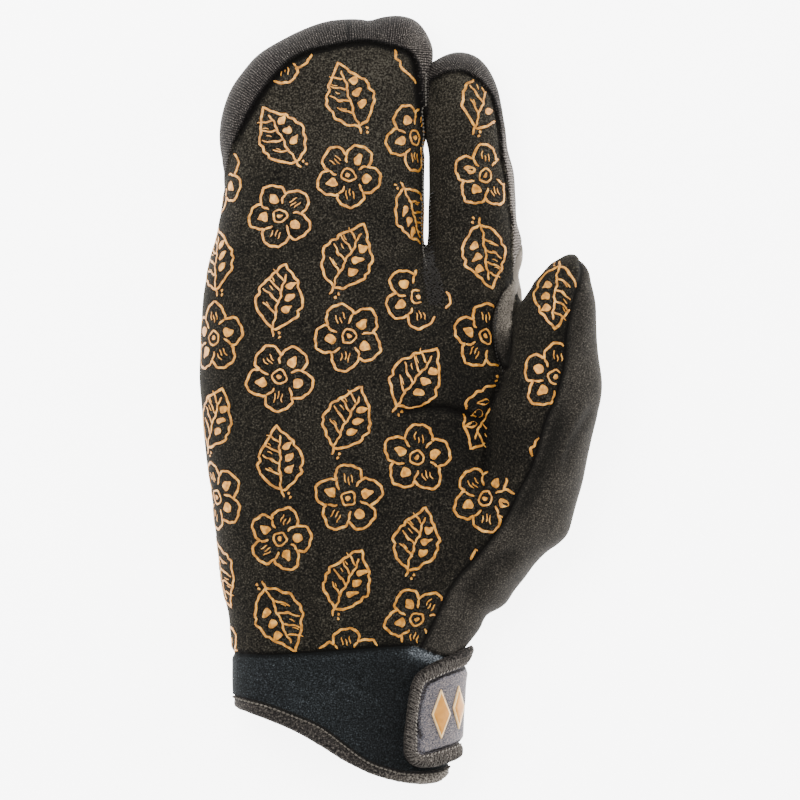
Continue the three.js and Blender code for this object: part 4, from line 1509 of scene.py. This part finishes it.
@dataclass
class Cuff:
    """The neoprene cuff and the binding folded over its slanted edge.

    Attributes:
        shell: the hand it is sewn to.
        wall: thickness of the neoprene.
        proud: how far the binding stands over it on both faces.
        roll: radius of the binding's fold.
        stitch_pitch: from one stitch of the binding to the next.
        stitch_inset: distance from the stitches to the tape's upper edge.
    """

    shell: HandShell
    wall: float = 2.6
    proud: float = 0.9
    roll: float = 1.5
    stitch_pitch: float = 1.6
    stitch_inset: float = 1.1

    def build(self) -> None:
        """Makes the cuff, its binding and the binding's stitches."""
        smooth = self.shell.smooth["cuff"]
        inner = self.shell.place(smooth.points, -self.wall)
        jersey = Patch(self.shell.place(smooth.points), smooth.faces).thick(inner)
        piece = show("cuff_jersey", jersey, NEOPRENE, crease=self.shell.crease(smooth.points))
        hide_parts("cuff")
        tape = self.shell.smooth["hem_binding"]
        out = self.shell.form.normal(tape.points)
        height = self.height(tape.points)
        outer = tape.points + out * height[:, None]
        inner = tape.points - out * (self.wall + height)[:, None]
        # Painted shadow under the tape's upper edge, wider on its right part, which is also painted lighter.
        right = smoothstep(-14, 8, tape.points[:, 0]) * smoothstep(16, 24, tape.points[:, 2])
        edge = self.shell.inside(Zone.BINDING, tape.points)
        tape_painted_shading = bell(edge, 0.5) + 0.5 * right * bell(edge, 1.0) - 0.4 * right
        closed = Patch(outer, tape.faces).thick(inner)
        piece = show("hem_binding_tape", closed, BINDING, crease=tape_painted_shading)
        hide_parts("hem_binding")
        self.stitch(tape)

    def height(self, points: Array) -> Array:
        """How far the tape stands over the smooth form, rounded at the fold and at its edge."""
        hem = -self.shell.inside(Zone.BEYOND_HEM, points)
        top = self.shell.inside(Zone.BINDING, points)
        fold = np.sqrt(np.maximum(self.roll**2 - np.maximum(self.roll - hem, 0) ** 2, 0))
        edge = 0.6 * bell(top, 0.6) + 0.3 * bell(top - 1.8, 0.7)
        sides = 0.9 * smoothstep(-50, -57, points[:, 0]) + 1.0 * smoothstep(12, 18, points[:, 0])
        return self.proud - self.roll + fold - edge - sides + 0.08 * ripple(points, 3.0, 21)

    def stitch(self, tape: Patch) -> None:
        """A line of stitches just below the tape's upper edge, all round the wrist."""
        below, _ = tape.cut(lambda p: self.shell.inside(Zone.BINDING, p) - self.stitch_inset)
        line = max(edge_loops(below), key=lambda loop: loop[:, 1].mean())
        points, ahead = along_line(line, self.stitch_pitch, closed=True)
        out = self.shell.form.normal(points)
        points = points + out * (self.height(points) + 0.3)[:, None]
        show("hem_stitches", stitches(points, ahead, out, 0.8 * self.stitch_pitch, 0.35), GREY_THREAD)


@dataclass
class WristStrap:
    """The hook-and-loop strap: a brushed face inside an overlocked edge.

    Attributes:
        form: the mitten's form.
        clear: distance from the cuff to the strap's underside.
        thick: from the cuff to the strap's face.
        binding_wide: width of the bound edge, less on the short side, which is seen on a slope.
        binding_high: height of its crown over the cuff.
        thread_pitch: from one overlock thread to the next.
        loop_pitch: from one of the loops inside it to the next.
        grid: size of the mesh's cells.
        over_z: height above which a point is on the palm's side of the wrist.
    """

    form: MittenForm
    clear: float = 1.0
    thick: float = 3.2
    binding_wide: float = 4.6
    binding_high: float = 4.3
    thread_pitch: float = 0.8
    loop_pitch: float = 1.35
    grid: float = 0.8
    over_z: float = 19.0

    def __post_init__(self) -> None:
        """Samples the strap's outlines."""
        self.palm_side = smooth_curve(STRAP_PALM, 1.0)
        self.back_side = smooth_curve(STRAP_BACK, 1.0)

    def depth(self, points: Array) -> Array:
        """Distance from points on the wrist to the strap's outline, positive inside."""
        plan = points[:, :2]
        over = points[:, 2] > self.over_z
        return np.where(over, zone_depth(self.palm_side, plan), zone_depth(self.back_side, plan))

    def wide(self, points: Array) -> Array:
        """Width of the bound edge beside points."""
        x, y, z = points.T
        short_side = smoothstep(12, 5, x) * (z > self.over_z)
        return self.binding_wide - 1.2 * short_side + 0.8 * smoothstep(-108, -118, y)

    def binding_top(self, share: Array) -> Array:
        """Height of the bound edge over the strap's underside, at a share of its width."""
        u = np.clip(share, 0, 1)
        round_edge = (1 - np.abs(2 * u - 1) ** 3) ** (1 / 2.2)
        inner = smoothstep(0.6, 1.0, u) * (self.thick - self.clear)
        return np.maximum((self.binding_high - self.clear) * round_edge, np.maximum(inner - 0.2, 0.25))

    def edging_top(self, points: Array) -> Array:
        """Height of the bound edge over its underside, at points on that underside."""
        return self.binding_top(self.depth(points) / self.wide(points)) * self.side_share(points)

    def side_share(self, points: Array) -> Array:
        """How much of its height the bound edge keeps, which is less on the wrist's side."""
        return 1 - 0.3 * smoothstep(32, 26, points[:, 2]) * smoothstep(-100, -90, points[:, 1])

    def face_top(self, points: Array) -> Array:
        """Height of the strap's face, which swells on the wrist's side and has a dent."""
        x, _, z = points.T
        swell = 1.1 * smoothstep(32, 26, z) * smoothstep(8, 14, x)
        inner = self.depth(points) - self.wide(points)
        even = self.thick - self.clear + 0.05 * ripple(points, 7.0, 31)
        return even + swell * smoothstep(0, 3, inner) - 0.5 * bell(inner, 0.7) - 0.6 * self.dent(points)

    def dent(self, points: Array) -> Array:
        """How deep in the dent near the face's lower corner points are, from 0 to 1."""
        return bell(away_from(STRAP_DENT, points), 0.9) * (points[:, 2] > self.over_z)

    def crease(self, points: Array) -> Array:
        """Painted shade on the face's border, in its dent and on the outer side of the bound edge."""
        depth = self.depth(points)
        short_side = smoothstep(12, 5, points[:, 0])
        border = 1.2 * bell(depth - self.wide(points) - 0.5, 0.4) * (1 - 0.7 * short_side)
        outer_side = 0.3 * smoothstep(2.2, 0.6, depth)
        return np.maximum(np.maximum(border, 0.6 * self.dent(points)), outer_side)

    def build(self) -> None:
        """Makes the strap's face, its bound edge and the threads."""
        axes = [grid_lines((*span, self.grid)) for span in ((-32, 32), (-132, -78), (-2, 42))]
        under, _ = mesh_form(self.form, axes, -self.clear).cut(self.depth)
        under = under.largest()
        edge, face = under.cut(lambda p: self.wide(p) - self.depth(p))
        face = face.finer()
        for name, part, top, finish, node in (
            ("strap_edging", edge, self.edging_top(edge.points), STRAP_BINDING_PAINTED_LIGHTER, "strap_binding"),
            ("strap_face", face, self.face_top(face.points), STRAP_FACE, "strap_tab"),
        ):
            raised = part.points + self.out(part.points) * top[:, None]
            closed = Patch(raised, part.faces).thick(part.points)
            piece = show(name, closed, finish, crease=self.crease(part.points))
            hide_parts(node)
        self.overlock(under)

    def out(self, points: Array) -> Array:
        """The outward direction at points on the strap's underside."""
        return unit(self.form.slope(points, -self.clear))

    def overlock(self, under: Patch) -> None:
        """Slanted threads over the bound edge, all round it, and the loops at its inner side."""
        middle, _ = under.cut(lambda p: self.depth(p) - self.wide(p) / 2)
        points, ahead = along_line(edge_loops(middle)[0], self.thread_pitch, closed=True)
        drawn = np.random.default_rng(11).uniform(-1, 1, (3, len(points), 1))
        out = self.out(points)
        inward = np.cross(out, ahead)
        share = np.linspace(0.06, 1.0, 9) * (1 - 0.08 * np.abs(drawn[0]))
        v = (share - 0.5) * self.wide(points)[:, None]
        slip = v * (0.45 + 0.2 * drawn[1]) + 0.3 * drawn[2]
        base = points[:, None] + inward[:, None] * v[..., None] + ahead[:, None] * slip[..., None]
        base = base.reshape(-1, 3)
        up = self.out(base)
        rise = (self.binding_top(share.ravel()) + 0.04) * self.side_share(base)
        lift = rise - self.form.at(base, -self.clear)
        paths = (base + up * lift[:, None]).reshape(*share.shape, 3)
        show("strap_overlock_threads", threads(paths, out, 0.17, 5), EDGE_THREAD)
        border, _ = under.cut(lambda p: self.depth(p) - self.wide(p) + 0.6)
        points, ahead = along_line(edge_loops(border)[0], self.loop_pitch, closed=True)
        out = self.out(points)
        points = points + out * (self.edging_top(points) + 0.2)[:, None]
        slanted = unit(ahead + 0.7 * np.cross(out, ahead))
        show("strap_edge_loops", stitches(points, slanted, out, 1.1, 0.24), LOOP_THREAD)


@dataclass
class Emblem:
    """Two upright lozenges of moulded rubber with a pale rim, on the strap's face.

    Attributes:
        strap: the strap they lie on.
        rows: for each, its centre in plan, half its width and half its height.
        high: thickness of the rubber.
        rim: width of the pale rim.
        gap: distance from the strap's face to the rubber.
        search: heights between which the strap is looked for.
        lowest: height below which a point has missed the strap.
        passes: how often a point is moved nearer to its place in plan.
        halvings: how often the search for its height is halved.
    """

    strap: WristStrap
    rows: tuple[tuple[float, ...], ...] = ((14, -107.4, 3.2, 8.6), (20, -105.4, 2.0, 7.6))
    high: float = 0.7
    rim: float = 0.45
    gap: float = 0.06
    search: tuple[float, float] = (12.0, 45.0)
    lowest: float = 20.0
    passes: int = 24
    halvings: int = 18

    def build(self) -> None:
        """Makes both lozenges, each on a slightly larger and lower one that shows as its rim."""
        for number, row in enumerate(self.rows, start=1):
            self.lozenge(f"emblem_rim_{number}", row, 0.0, 0.75 * self.high, PALE_RUBBER)
            piece = self.lozenge(f"emblem_rubber_{number}", row, self.rim, self.high, RUBBER)
            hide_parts(f"emblem_lozenge_{number}")

    def lozenge(
        self, name: str, row: tuple[float, ...], inset: float, high: float, finish: Finish
    ) -> bpy.types.Object:
        """Makes one lozenge.

        Args:
            name: the piece's name.
            row: centre, half width and half height.
            inset: how far inside the row's outline its own outline is.
            high: its thickness.
            finish: what it is made of.

        Returns:
            The piece.
        """
        x, y, half_wide, half_high = row
        corners = np.array([(half_wide, 0), (0, half_high), (-half_wide, 0), (0, -half_high), (half_wide, 0)])
        outline = even_points(corners, 0.5)[:-1]
        slant = half_high / math.hypot(half_wide, half_high)
        rings = []
        for inward, lift in ((inset, 0.0), (inset, 0.7 * high), (inset + 0.15, high), (inset + 0.8, high)):
            rings.append(self.on_strap(outline * (1 - inward / (half_wide * slant)) + (x, y), lift))
        top, bottom = (self.on_strap(np.array([[x, y]]), lift) for lift in (high, 0.0))
        return show(name, stacked_rings(rings, top, bottom), finish)

    def on_strap(self, plan: Array, lift: float) -> Array:
        """Points laid on the strap's face.

        Args:
            plan: where they show from above. One that would miss the strap stays beside it.
            lift: how far above the face they are.

        Returns:
            The points in space.
        """
        strap = self.strap
        foot = plan.copy()
        laid = np.zeros((len(plan), 3))
        for _ in range(self.passes):
            low, high = (np.full(len(plan), level) for level in self.search)
            under = strap.form.raised(foot, low, high, self.halvings, -strap.clear)
            out = strap.out(under)
            over = under + out * (strap.face_top(under) + self.gap)[:, None]
            missed = under[:, 2:] < self.lowest
            foot += np.where(missed, (-0.3, 0.0), 0.5 * (plan - over[:, :2]))
            laid = np.where(missed, laid, over + out * lift)
        return laid


# Print and stitches


class Motif(Enum):
    """The print's two motifs."""

    ROSETTE = "rosette"
    LEAF = "leaf"


@dataclass(frozen=True)
class Drawing:
    """Lines and filled spots of a motif, flat, in millimetres.

    Attributes:
        strokes: each a line and its width.
        spots: each the outline of a filled spot.
    """

    strokes: tuple[tuple[Array, float], ...]
    spots: tuple[Array, ...]


def drop(x: float, y: float, long: float, wide: float, turn: float) -> Array:
    """The outline of a filled drop: its centre, half length, half width and direction."""
    t = np.linspace(0, 2 * math.pi, 16, endpoint=False)
    u, v = long * np.cos(t), wide * np.sin(t) * (1 - 0.45 * np.cos(t))
    c, s = math.cos(turn), math.sin(turn)
    return np.column_stack([x + u * c - v * s, y + u * s + v * c])


def rosette(petals: int = 5, notch: float = 7.4, reach: float = 3.9) -> Drawing:
    """A flower from above: a lobed outline, a ring, and petals with spots or short dashes.

    Args:
        petals: how many.
        notch: distance from the centre to the notches between them.
        reach: how far they reach beyond that.

    Returns:
        The drawing.
    """
    t = np.linspace(0, 2 * math.pi, 121)
    r = notch + reach * np.abs(np.sin(petals * t / 2)) ** 0.7
    strokes = [(polar(r, t), 1.0), (polar(2.3, np.linspace(0, 2 * math.pi, 30)), 0.8)]
    spots = [drop(0, 0, 0.9, 0.8, 0)]
    for k in range(petals):
        between, middle = 2 * math.pi * k / petals, 2 * math.pi * (k + 0.5) / petals
        r = np.linspace(notch, 4.3, 8)
        bend = between + 0.12 * np.sin((notch - r) / 2)
        strokes.append((polar(r, bend), 0.85))
        if k % 2:
            for shift, start, end in ((-0.22, 5.6, 8.2), (0.0, 4.9, 7.4), (0.2, 5.8, 8.6)):
                r = np.linspace(start, end, 6)
                strokes.append((polar(r, middle + shift * 6 / r), 0.45))
        else:
            spots.append(drop(6.4 * math.cos(middle), 6.4 * math.sin(middle), 2.0, 1.6, middle))
    return Drawing(tuple(strokes), tuple(spots))


def leaf(half: float = 11.5, wide: float = 7.6) -> Drawing:
    """A broad leaf: a scalloped outline, a midrib, veins, spots on one half and dashes on the other.

    Args:
        half: half its length.
        wide: half its width.

    Returns:
        The drawing.
    """
    t = np.linspace(0, 1, 46)
    rim = wide * np.sin(math.pi * t**0.8) * (1 + 0.09 * np.abs(np.sin(6 * math.pi * t)))
    y = half * (2 * t - 1)
    outline = np.vstack([np.column_stack([rim, y]), np.column_stack([-rim, y])[::-1]])
    s = np.linspace(-half - 2.6, half * 0.72, 26)
    midrib = np.column_stack([0.5 * np.sin(s / 5), s])
    strokes = [(outline, 1.0), (midrib, 0.85)]
    spots = []
    q = np.linspace(0, 1, 9)
    for base, reach in ((-6.6, 5.4), (-2.4, 6.2), (1.8, 5.2), (5.6, 3.0)):
        strokes.append((np.column_stack([-q * reach, base + 0.55 * q * reach + 0.8 * q * q]), 0.7))
        if base < 5:
            spots.append(drop(3.3, base + 2.6, 2.0, 1.25, 0.55))
    q = np.linspace(0, 1, 5)
    for k in range(5):
        base = -5.8 + 2.9 * k
        strokes.append((np.column_stack([-(2.6 + 1.6 * q), base + 1.5 + 1.3 * q]), 0.4))
    spots += [drop(2.1, -half - 1.0 + 1.5 * k, 0.5, 0.5, 0) for k in range(-1, 1)]
    return Drawing(tuple(strokes), tuple(spots))


@dataclass
class PalmPrint:
    """Flowers and leaves screen-printed on the palm in columns, each dropped by half a step.

    Attributes:
        shell: the hand with its printed panel.
        step_x: from one column to the next.
        step_y: from one motif to the next in a column.
        start: a motif in the middle of the palm.
        ink: thickness of the ink.
        sunk: how far the ink's sides reach into the cloth.
        margin: how far the ink stays from a seam.
        fold_margin: how far it stays from the crease beside the thumb.
        tack_margin: how far it stays from the bar tack's middle.
        stray: a point further than this from the form isn't on the cloth.
        longest_step: a line breaks off where two of its points are further apart than this.
        uneven: share by which a line's width wanders.
        stroke_end: how wide a line is at its ends, as a share of its middle.
        edge_depth: distance inside the outline from which motifs are walked round the side.
    """

    shell: HandShell
    step_x: float = 23.4
    step_y: float = 27.6
    start: tuple[float, float] = (-17.5, -6.0)
    ink: float = 0.14
    sunk: float = 0.12
    margin: float = 0.7
    fold_margin: float = 0.8
    tack_margin: float = 4.0
    stray: float = 0.4
    longest_step: float = 1.6
    uneven: float = 0.12
    stroke_end: float = 0.55
    edge_depth: float = 11.0

    def centres(self) -> tuple[Array, Array]:
        """Where the motifs sit on the palm, and the print's upward direction there."""
        form = self.shell.form
        plan = np.array([
            (self.start[0] + self.step_x * i, self.start[1] + self.step_y * (j + 0.5 * (i % 2)))
            for i in range(-3, 5)
            for j in range(-4, 6)
        ])
        depth = form.hand_map.read(plan[:, 0], plan[:, 1])
        on_thumb = (plan[:, 0] > 10) & (plan[:, 1] > -60)
        on_thumb &= form.thumb_map.read(plan[:, 0], plan[:, 1]) > 1.5
        use = (depth > -9) | on_thumb
        plan, depth, on_thumb = plan[use], depth[use], on_thumb[use]
        inward = unit(np.column_stack([
            form.hand_map.read(*(plan + move).T) - form.hand_map.read(*(plan - move).T)
            for move in 2.0 * np.eye(2)
        ]))
        short = np.where(on_thumb, 0, np.maximum(self.edge_depth - depth, 0))
        foot = form.from_above(plan + inward * short[:, None])
        outward = np.column_stack([-inward, np.zeros(len(plan))])
        points, _ = form.walk(foot, outward, short * 1.12, 16)
        up = np.tile([0.0, 1.0, 0.0], (len(points), 1))
        return points, square_to(up, form.normal(points))

    def build(self) -> None:
        """Makes the whole print as one piece of ink."""
        centres, ups = self.centres()
        lines, widths, owner = self.draw(len(centres))
        sizes = [len(line) for line in lines]
        every = np.vstack(lines)
        who = np.repeat(owner, sizes)
        up, out = ups[who], self.shell.form.normal(centres)[who]
        toward = unit(np.cross(up, out) * every[:, :1] + up * every[:, 1:])
        points, _ = self.shell.form.walk(centres[who], toward, np.linalg.norm(every, axis=1), 9)
        out = self.shell.form.normal(points)
        cloth = self.shell.place(points)
        fold = self.fold_gap(points) * np.sign(self.fold_gap(centres)[who])
        clear = np.minimum(self.shell.on_palm(points) - self.margin, fold - self.fold_margin)
        clear = np.minimum(clear, away_from(TACK_LINE, points) - self.tack_margin)
        on_cloth = np.abs(self.shell.form.at(points)) < self.stray
        clear = np.where(on_cloth, clear, -1.0)
        LOG.info("print: %d motifs", len(centres))
        made = []
        start = 0
        for width, size in zip(widths, sizes):
            part = slice(start, start + size)
            start += size
            if width:
                made += self.strokes(cloth[part], out[part], clear[part], width)
            elif (clear[part] > 0).all():
                made.append(self.spot(cloth[part], out[part]))
        show("palm_print", joined(made), INK)

    def draw(self, count: int) -> tuple[list[Array], list[float], list[int]]:
        """Draws each motif flat, turned and sized.

        Args:
            count: how many motifs.

        Returns:
            Lines round each motif's centre, their widths, which are 0 for the outline of a
            filled spot, and the number of the motif that each belongs to.
        """
        drawings = {Motif.ROSETTE: rosette(), Motif.LEAF: leaf()}
        rng = np.random.default_rng(14)
        lines, widths, owner = [], [], []
        for number in range(count):
            drawing = drawings[Motif.ROSETTE if number % 2 else Motif.LEAF]
            turn = rng.uniform(-0.6, 0.6) + math.pi * rng.integers(0, 2)
            size = rng.uniform(0.95, 1.05)
            c, s = math.cos(turn) * size, math.sin(turn) * size
            turned = np.array([[c, s], [-s, c]])
            phase = rng.uniform(0, 2 * math.pi, 4)
            for line, width in [*drawing.strokes, *((spot, 0.0) for spot in drawing.spots)]:
                line = even_points(line, 0.8 if width > 0.5 else 0.6) if width else line
                lines.append(self.hand_drawn(line, phase) @ turned)
                widths.append(width)
                owner.append(number)
        return lines, widths, owner

    def fold_gap(self, points: Array) -> Array:
        """Distance from the crease beside the thumb, positive on the palm's side of it."""
        form = self.shell.form
        x, y, z = points.T
        low, high, edge = form.hand_low(y), form.hand_high(y), form.hand_edge(y)
        hand = form.pillow(form.hand_map.read(x, y), z, low, high, edge, 0.0)
        return np.where((x > 20) & (y > -26), form.thumb(x, y, z) - hand, 99.0)

    def hand_drawn(self, line: Array, phase: Array) -> Array:
        """The line with a slow unevenness, as if drawn by hand."""
        x, y = line.T
        return np.column_stack([
            x + 0.28 * np.sin(y * 0.9 + phase[0]) + 0.16 * np.sin(y * 2.3 + phase[1]),
            y + 0.28 * np.sin(x * 0.8 + phase[2]) + 0.16 * np.sin(x * 2.1 + phase[3]),
        ])

    def strokes(self, cloth: Array, out: Array, clear: Array, width: float) -> list[Patch]:
        """The runs of a line that lie clear of the seams, as flat raised ribbons.

        Args:
            cloth: the line's points on the cloth.
            out: the direction away from the cloth at each.
            clear: how far each is from the nearest place that the ink leaves free.
            width: the line's width.

        Returns:
            The ribbons.
        """
        good = clear > 0
        good[1:] &= np.linalg.norm(np.diff(cloth, axis=0), axis=1) < self.longest_step
        edges = np.flatnonzero(np.diff(np.concatenate([[0], good.astype(int), [0]])))
        made = []
        for a, b in zip(edges[::2], edges[1::2]):
            if b - a < 3:
                continue
            across = unit(np.cross(out[a:b], np.gradient(cloth[a:b], axis=0)))
            wide = width * (1 + self.uneven * np.sin(np.arange(b - a) * 0.7 + a))
            wide[[0, -1]] *= self.stroke_end
            profile = ((0.5, -self.sunk), (0.36, self.ink), (-0.36, self.ink), (-0.5, -self.sunk))
            rails = [
                cloth[a:b] + across * (wide * place)[:, None] + out[a:b] * lift for place, lift in profile
            ]
            made.append(tube(np.stack(rails, axis=1)[None]))
        return made

    def spot(self, ring: Array, out: Array) -> Patch:
        """A filled spot inside a ring of points on the cloth."""
        middle, up = ring.mean(axis=0), out.mean(axis=0)
        swell = ((ring - middle) * up).sum(axis=1).mean()
        centre = middle - up * swell * 0.9
        inner = ring + 0.45 * (centre - ring)
        shoulder = ring + 0.1 * (centre - ring)
        rings = [ring - out * self.sunk, shoulder + out * self.ink, inner + out * self.ink]
        return stacked_rings(rings, centre + up * self.ink, centre - up * 0.4)


@dataclass
class SlitStitches:
    """Dark stitches round the slit between pocket and index finger, and along the web.

    Attributes:
        shell: the hand.
        bead_pitch: from one topstitch to the next.
        overlock_pitch: from one overlock thread to the next.
        tack_pitch: from one row of the bar tack to the next.
        tack_lane: from one thread to the next in a row.
        open_above: height that a point in plan is given where it misses the cloth.
    """

    shell: HandShell
    bead_pitch: float = 1.3
    overlock_pitch: float = 1.3
    tack_pitch: float = 0.5
    tack_lane: float = 0.95
    open_above: float = 46.0

    def build(self) -> None:
        """Makes the topstitches, the overlock threads and the bar tack."""
        show("slit_topstitches", self.topstitch(SLIT_BEADS), SEAM_THREAD)
        show("web_topstitches", self.topstitch(WEB_BEADS), BLACK_THREAD)
        show("slit_overlock", self.overlock(), BLACK_THREAD)
        show("bar_tack", self.bar_tack(), BLACK_THREAD)

    def topstitch(self, rows: list[tuple[float, float]]) -> Patch:
        """Short stitches along a line in plan."""
        line = self.shell.form.from_above(smooth_curve(rows, 0.5))
        points, ahead = along_line(line[line[:, 2] < self.open_above], self.bead_pitch)
        out = self.shell.form.normal(points)
        return stitches(self.shell.place(points, 0.25), ahead, out, 0.66 * self.bead_pitch, 0.34)

    def overlock(self) -> Patch:
        """Slanted threads over the index finger's edge of the slit."""
        line = smooth_curve(SLIT_EDGE, self.overlock_pitch)
        reach = np.linspace(-0.9, 1.4, 6)[:, None] * np.array([1.0, 0.35])
        return self.lay(line[:, None] + reach, np.full(6, 0.25), 0.27)

    def bar_tack(self) -> Patch:
        """A patch of dense crossed stitches below the foot of the slit."""
        rng = np.random.default_rng(4)
        spine = smooth_curve(TACK_SPINE, self.tack_pitch)
        wide = np.interp(spine[:, 1], *np.array(TACK_WIDTHS).T)
        short = np.array([-0.75, -0.3, 0.3, 0.75])
        paths = []
        for number, (at, half) in enumerate(zip(spine, wide)):
            for lane in np.arange(-half, half, self.tack_lane):
                slant = rng.uniform(0.2, 1.1) * (1 if (number + int(lane + 9)) % 2 else -1)
                middle = at + (lane + 0.5, 0) + rng.uniform(-0.35, 0.35, 2)
                paths.append(middle + rng.uniform(0.7, 1.2) * np.column_stack([short, slant * short]))
        return self.lay(np.array(paths), np.array([0.0, 0.4, 0.4, 0.0]), 0.24)

    def lay(self, plans: Array, lift: Array, radius: float) -> Patch:
        """Threads laid on the cloth along paths in plan.

        Args:
            plans: paths in plan, numbered by thread, point and axis.
            lift: height of each of a path's points over the cloth.
            radius: half a thread's thickness.

        Returns:
            All the threads.
        """
        on = self.shell.form.from_above(plans.reshape(-1, 2)).reshape(*plans.shape[:2], 3)
        on = on[(on[..., 2] < self.open_above).all(axis=1)]
        flat = on.reshape(-1, 3)
        laid = self.shell.place(flat, np.tile(lift, len(on))).reshape(on.shape)
        return threads(laid, self.shell.form.normal(flat).reshape(on.shape), radius, 5)


# The stage


class Lamp(Enum):
    """The kinds of light: a near square one that the fingertips get more of, and a broad far one."""

    SOFT_BOX = "AREA"
    SUN = "SUN"


@dataclass(frozen=True)
class Studio:
    """Camera, floor and soft light.

    Attributes:
        frame_width: width of the view in the plane at focus height, in metres.
        focus_z: height of that plane.
        lens: focal length, in millimetres.
        sensor: width of the sensor, in millimetres.
        floor_glow: light given off by the floor, a white panel lit from behind.
        floor_half: half the floor's side, in metres.
        sky: strength of the white light from all round.
    """

    frame_width: float = 0.276
    focus_z: float = 0.017
    lens: float = 200.0
    sensor: float = 36.0
    floor_glow: float = 6.0
    floor_half: float = 3.0
    sky: float = 0.9

    def build(self) -> None:
        """Makes them all."""
        self.camera()
        self.floor()
        self.lamp(Lamp.SOFT_BOX, "key", (-0.15, 0.2, 0.55), 4.5, size=0.32)
        self.lamp(Lamp.SUN, "side", (0.95, 0.2, 0.35), 2.4, angle=math.radians(30.0))
        self.lamp(Lamp.SUN, "fill", (-0.9, 0.0, 0.3), 1.2, angle=math.radians(60.0))
        world = bpy.data.worlds.new("studio")
        bpy.context.scene.world = world
        world.use_nodes = True
        sky = world.node_tree.nodes["Background"]
        sky.inputs["Color"].default_value = (1.0, 1.0, 1.0, 1.0)
        sky.inputs["Strength"].default_value = self.sky

    def camera(self) -> None:
        """Looks straight down, fingertips up."""
        data = bpy.data.cameras.new("camera")
        data.lens = self.lens
        data.sensor_width = self.sensor
        distance = self.frame_width * self.lens / self.sensor
        eye = put("camera", data)
        eye.location = (0.0, 0.0, distance + self.focus_z)
        bpy.context.scene.camera = eye

    def floor(self) -> None:
        """A white light panel wide enough for every view."""
        mesh = bpy.data.meshes.new("floor")
        half = self.floor_half
        corners = [(-half, -half, 0), (half, -half, 0), (half, half, 0), (-half, half, 0)]
        mesh.from_pydata(corners, [], [(0, 1, 2, 3)])
        made = bpy.data.materials.new("lit_white_acrylic")
        made.use_nodes = True
        paper = made.node_tree.nodes["Principled BSDF"]
        paper.inputs["Base Color"].default_value = linear("#ffffff")
        paper.inputs["Roughness"].default_value = 0.9
        paper.inputs["Emission Color"].default_value = linear("#ffffff")
        paper.inputs["Emission Strength"].default_value = self.floor_glow
        mesh.materials.append(made)
        put("floor", mesh)

    def lamp(self, kind: Lamp, name: str, at: tuple[float, ...], power: float, **sizes: float) -> None:
        """Adds a light that faces the mitten.

        Args:
            kind: which kind.
            name: its name.
            at: where it stands, in metres, which for a sun gives its direction alone.
            power: in watts, for a sun in watts a square metre.
            sizes: the side of a soft box as size, in metres, or the angle that a sun fills.
        """
        data = bpy.data.lights.new(name, kind.value)
        data.energy = power
        for key, value in sizes.items():
            setattr(data, key, value)
        light = put(name, data)
        light.location = at
        light.rotation_euler = Vector(at).to_track_quat("Z", "Y").to_euler()


def main() -> None:
    """Builds the mitten and its stage, and reports each piece."""
    logging.basicConfig(level=logging.INFO, format="%(message)s")
    Studio().build()
    form = MittenForm()
    shell = HandShell(form)
    shell.build()
    RibbedBands(shell).build()
    Cuff(shell).build()
    strap = WristStrap(form)
    strap.build()
    Emblem(strap).build()
    PalmPrint(shell).build()
    SlitStitches(shell).build()


if __name__ == "__main__":
    main()
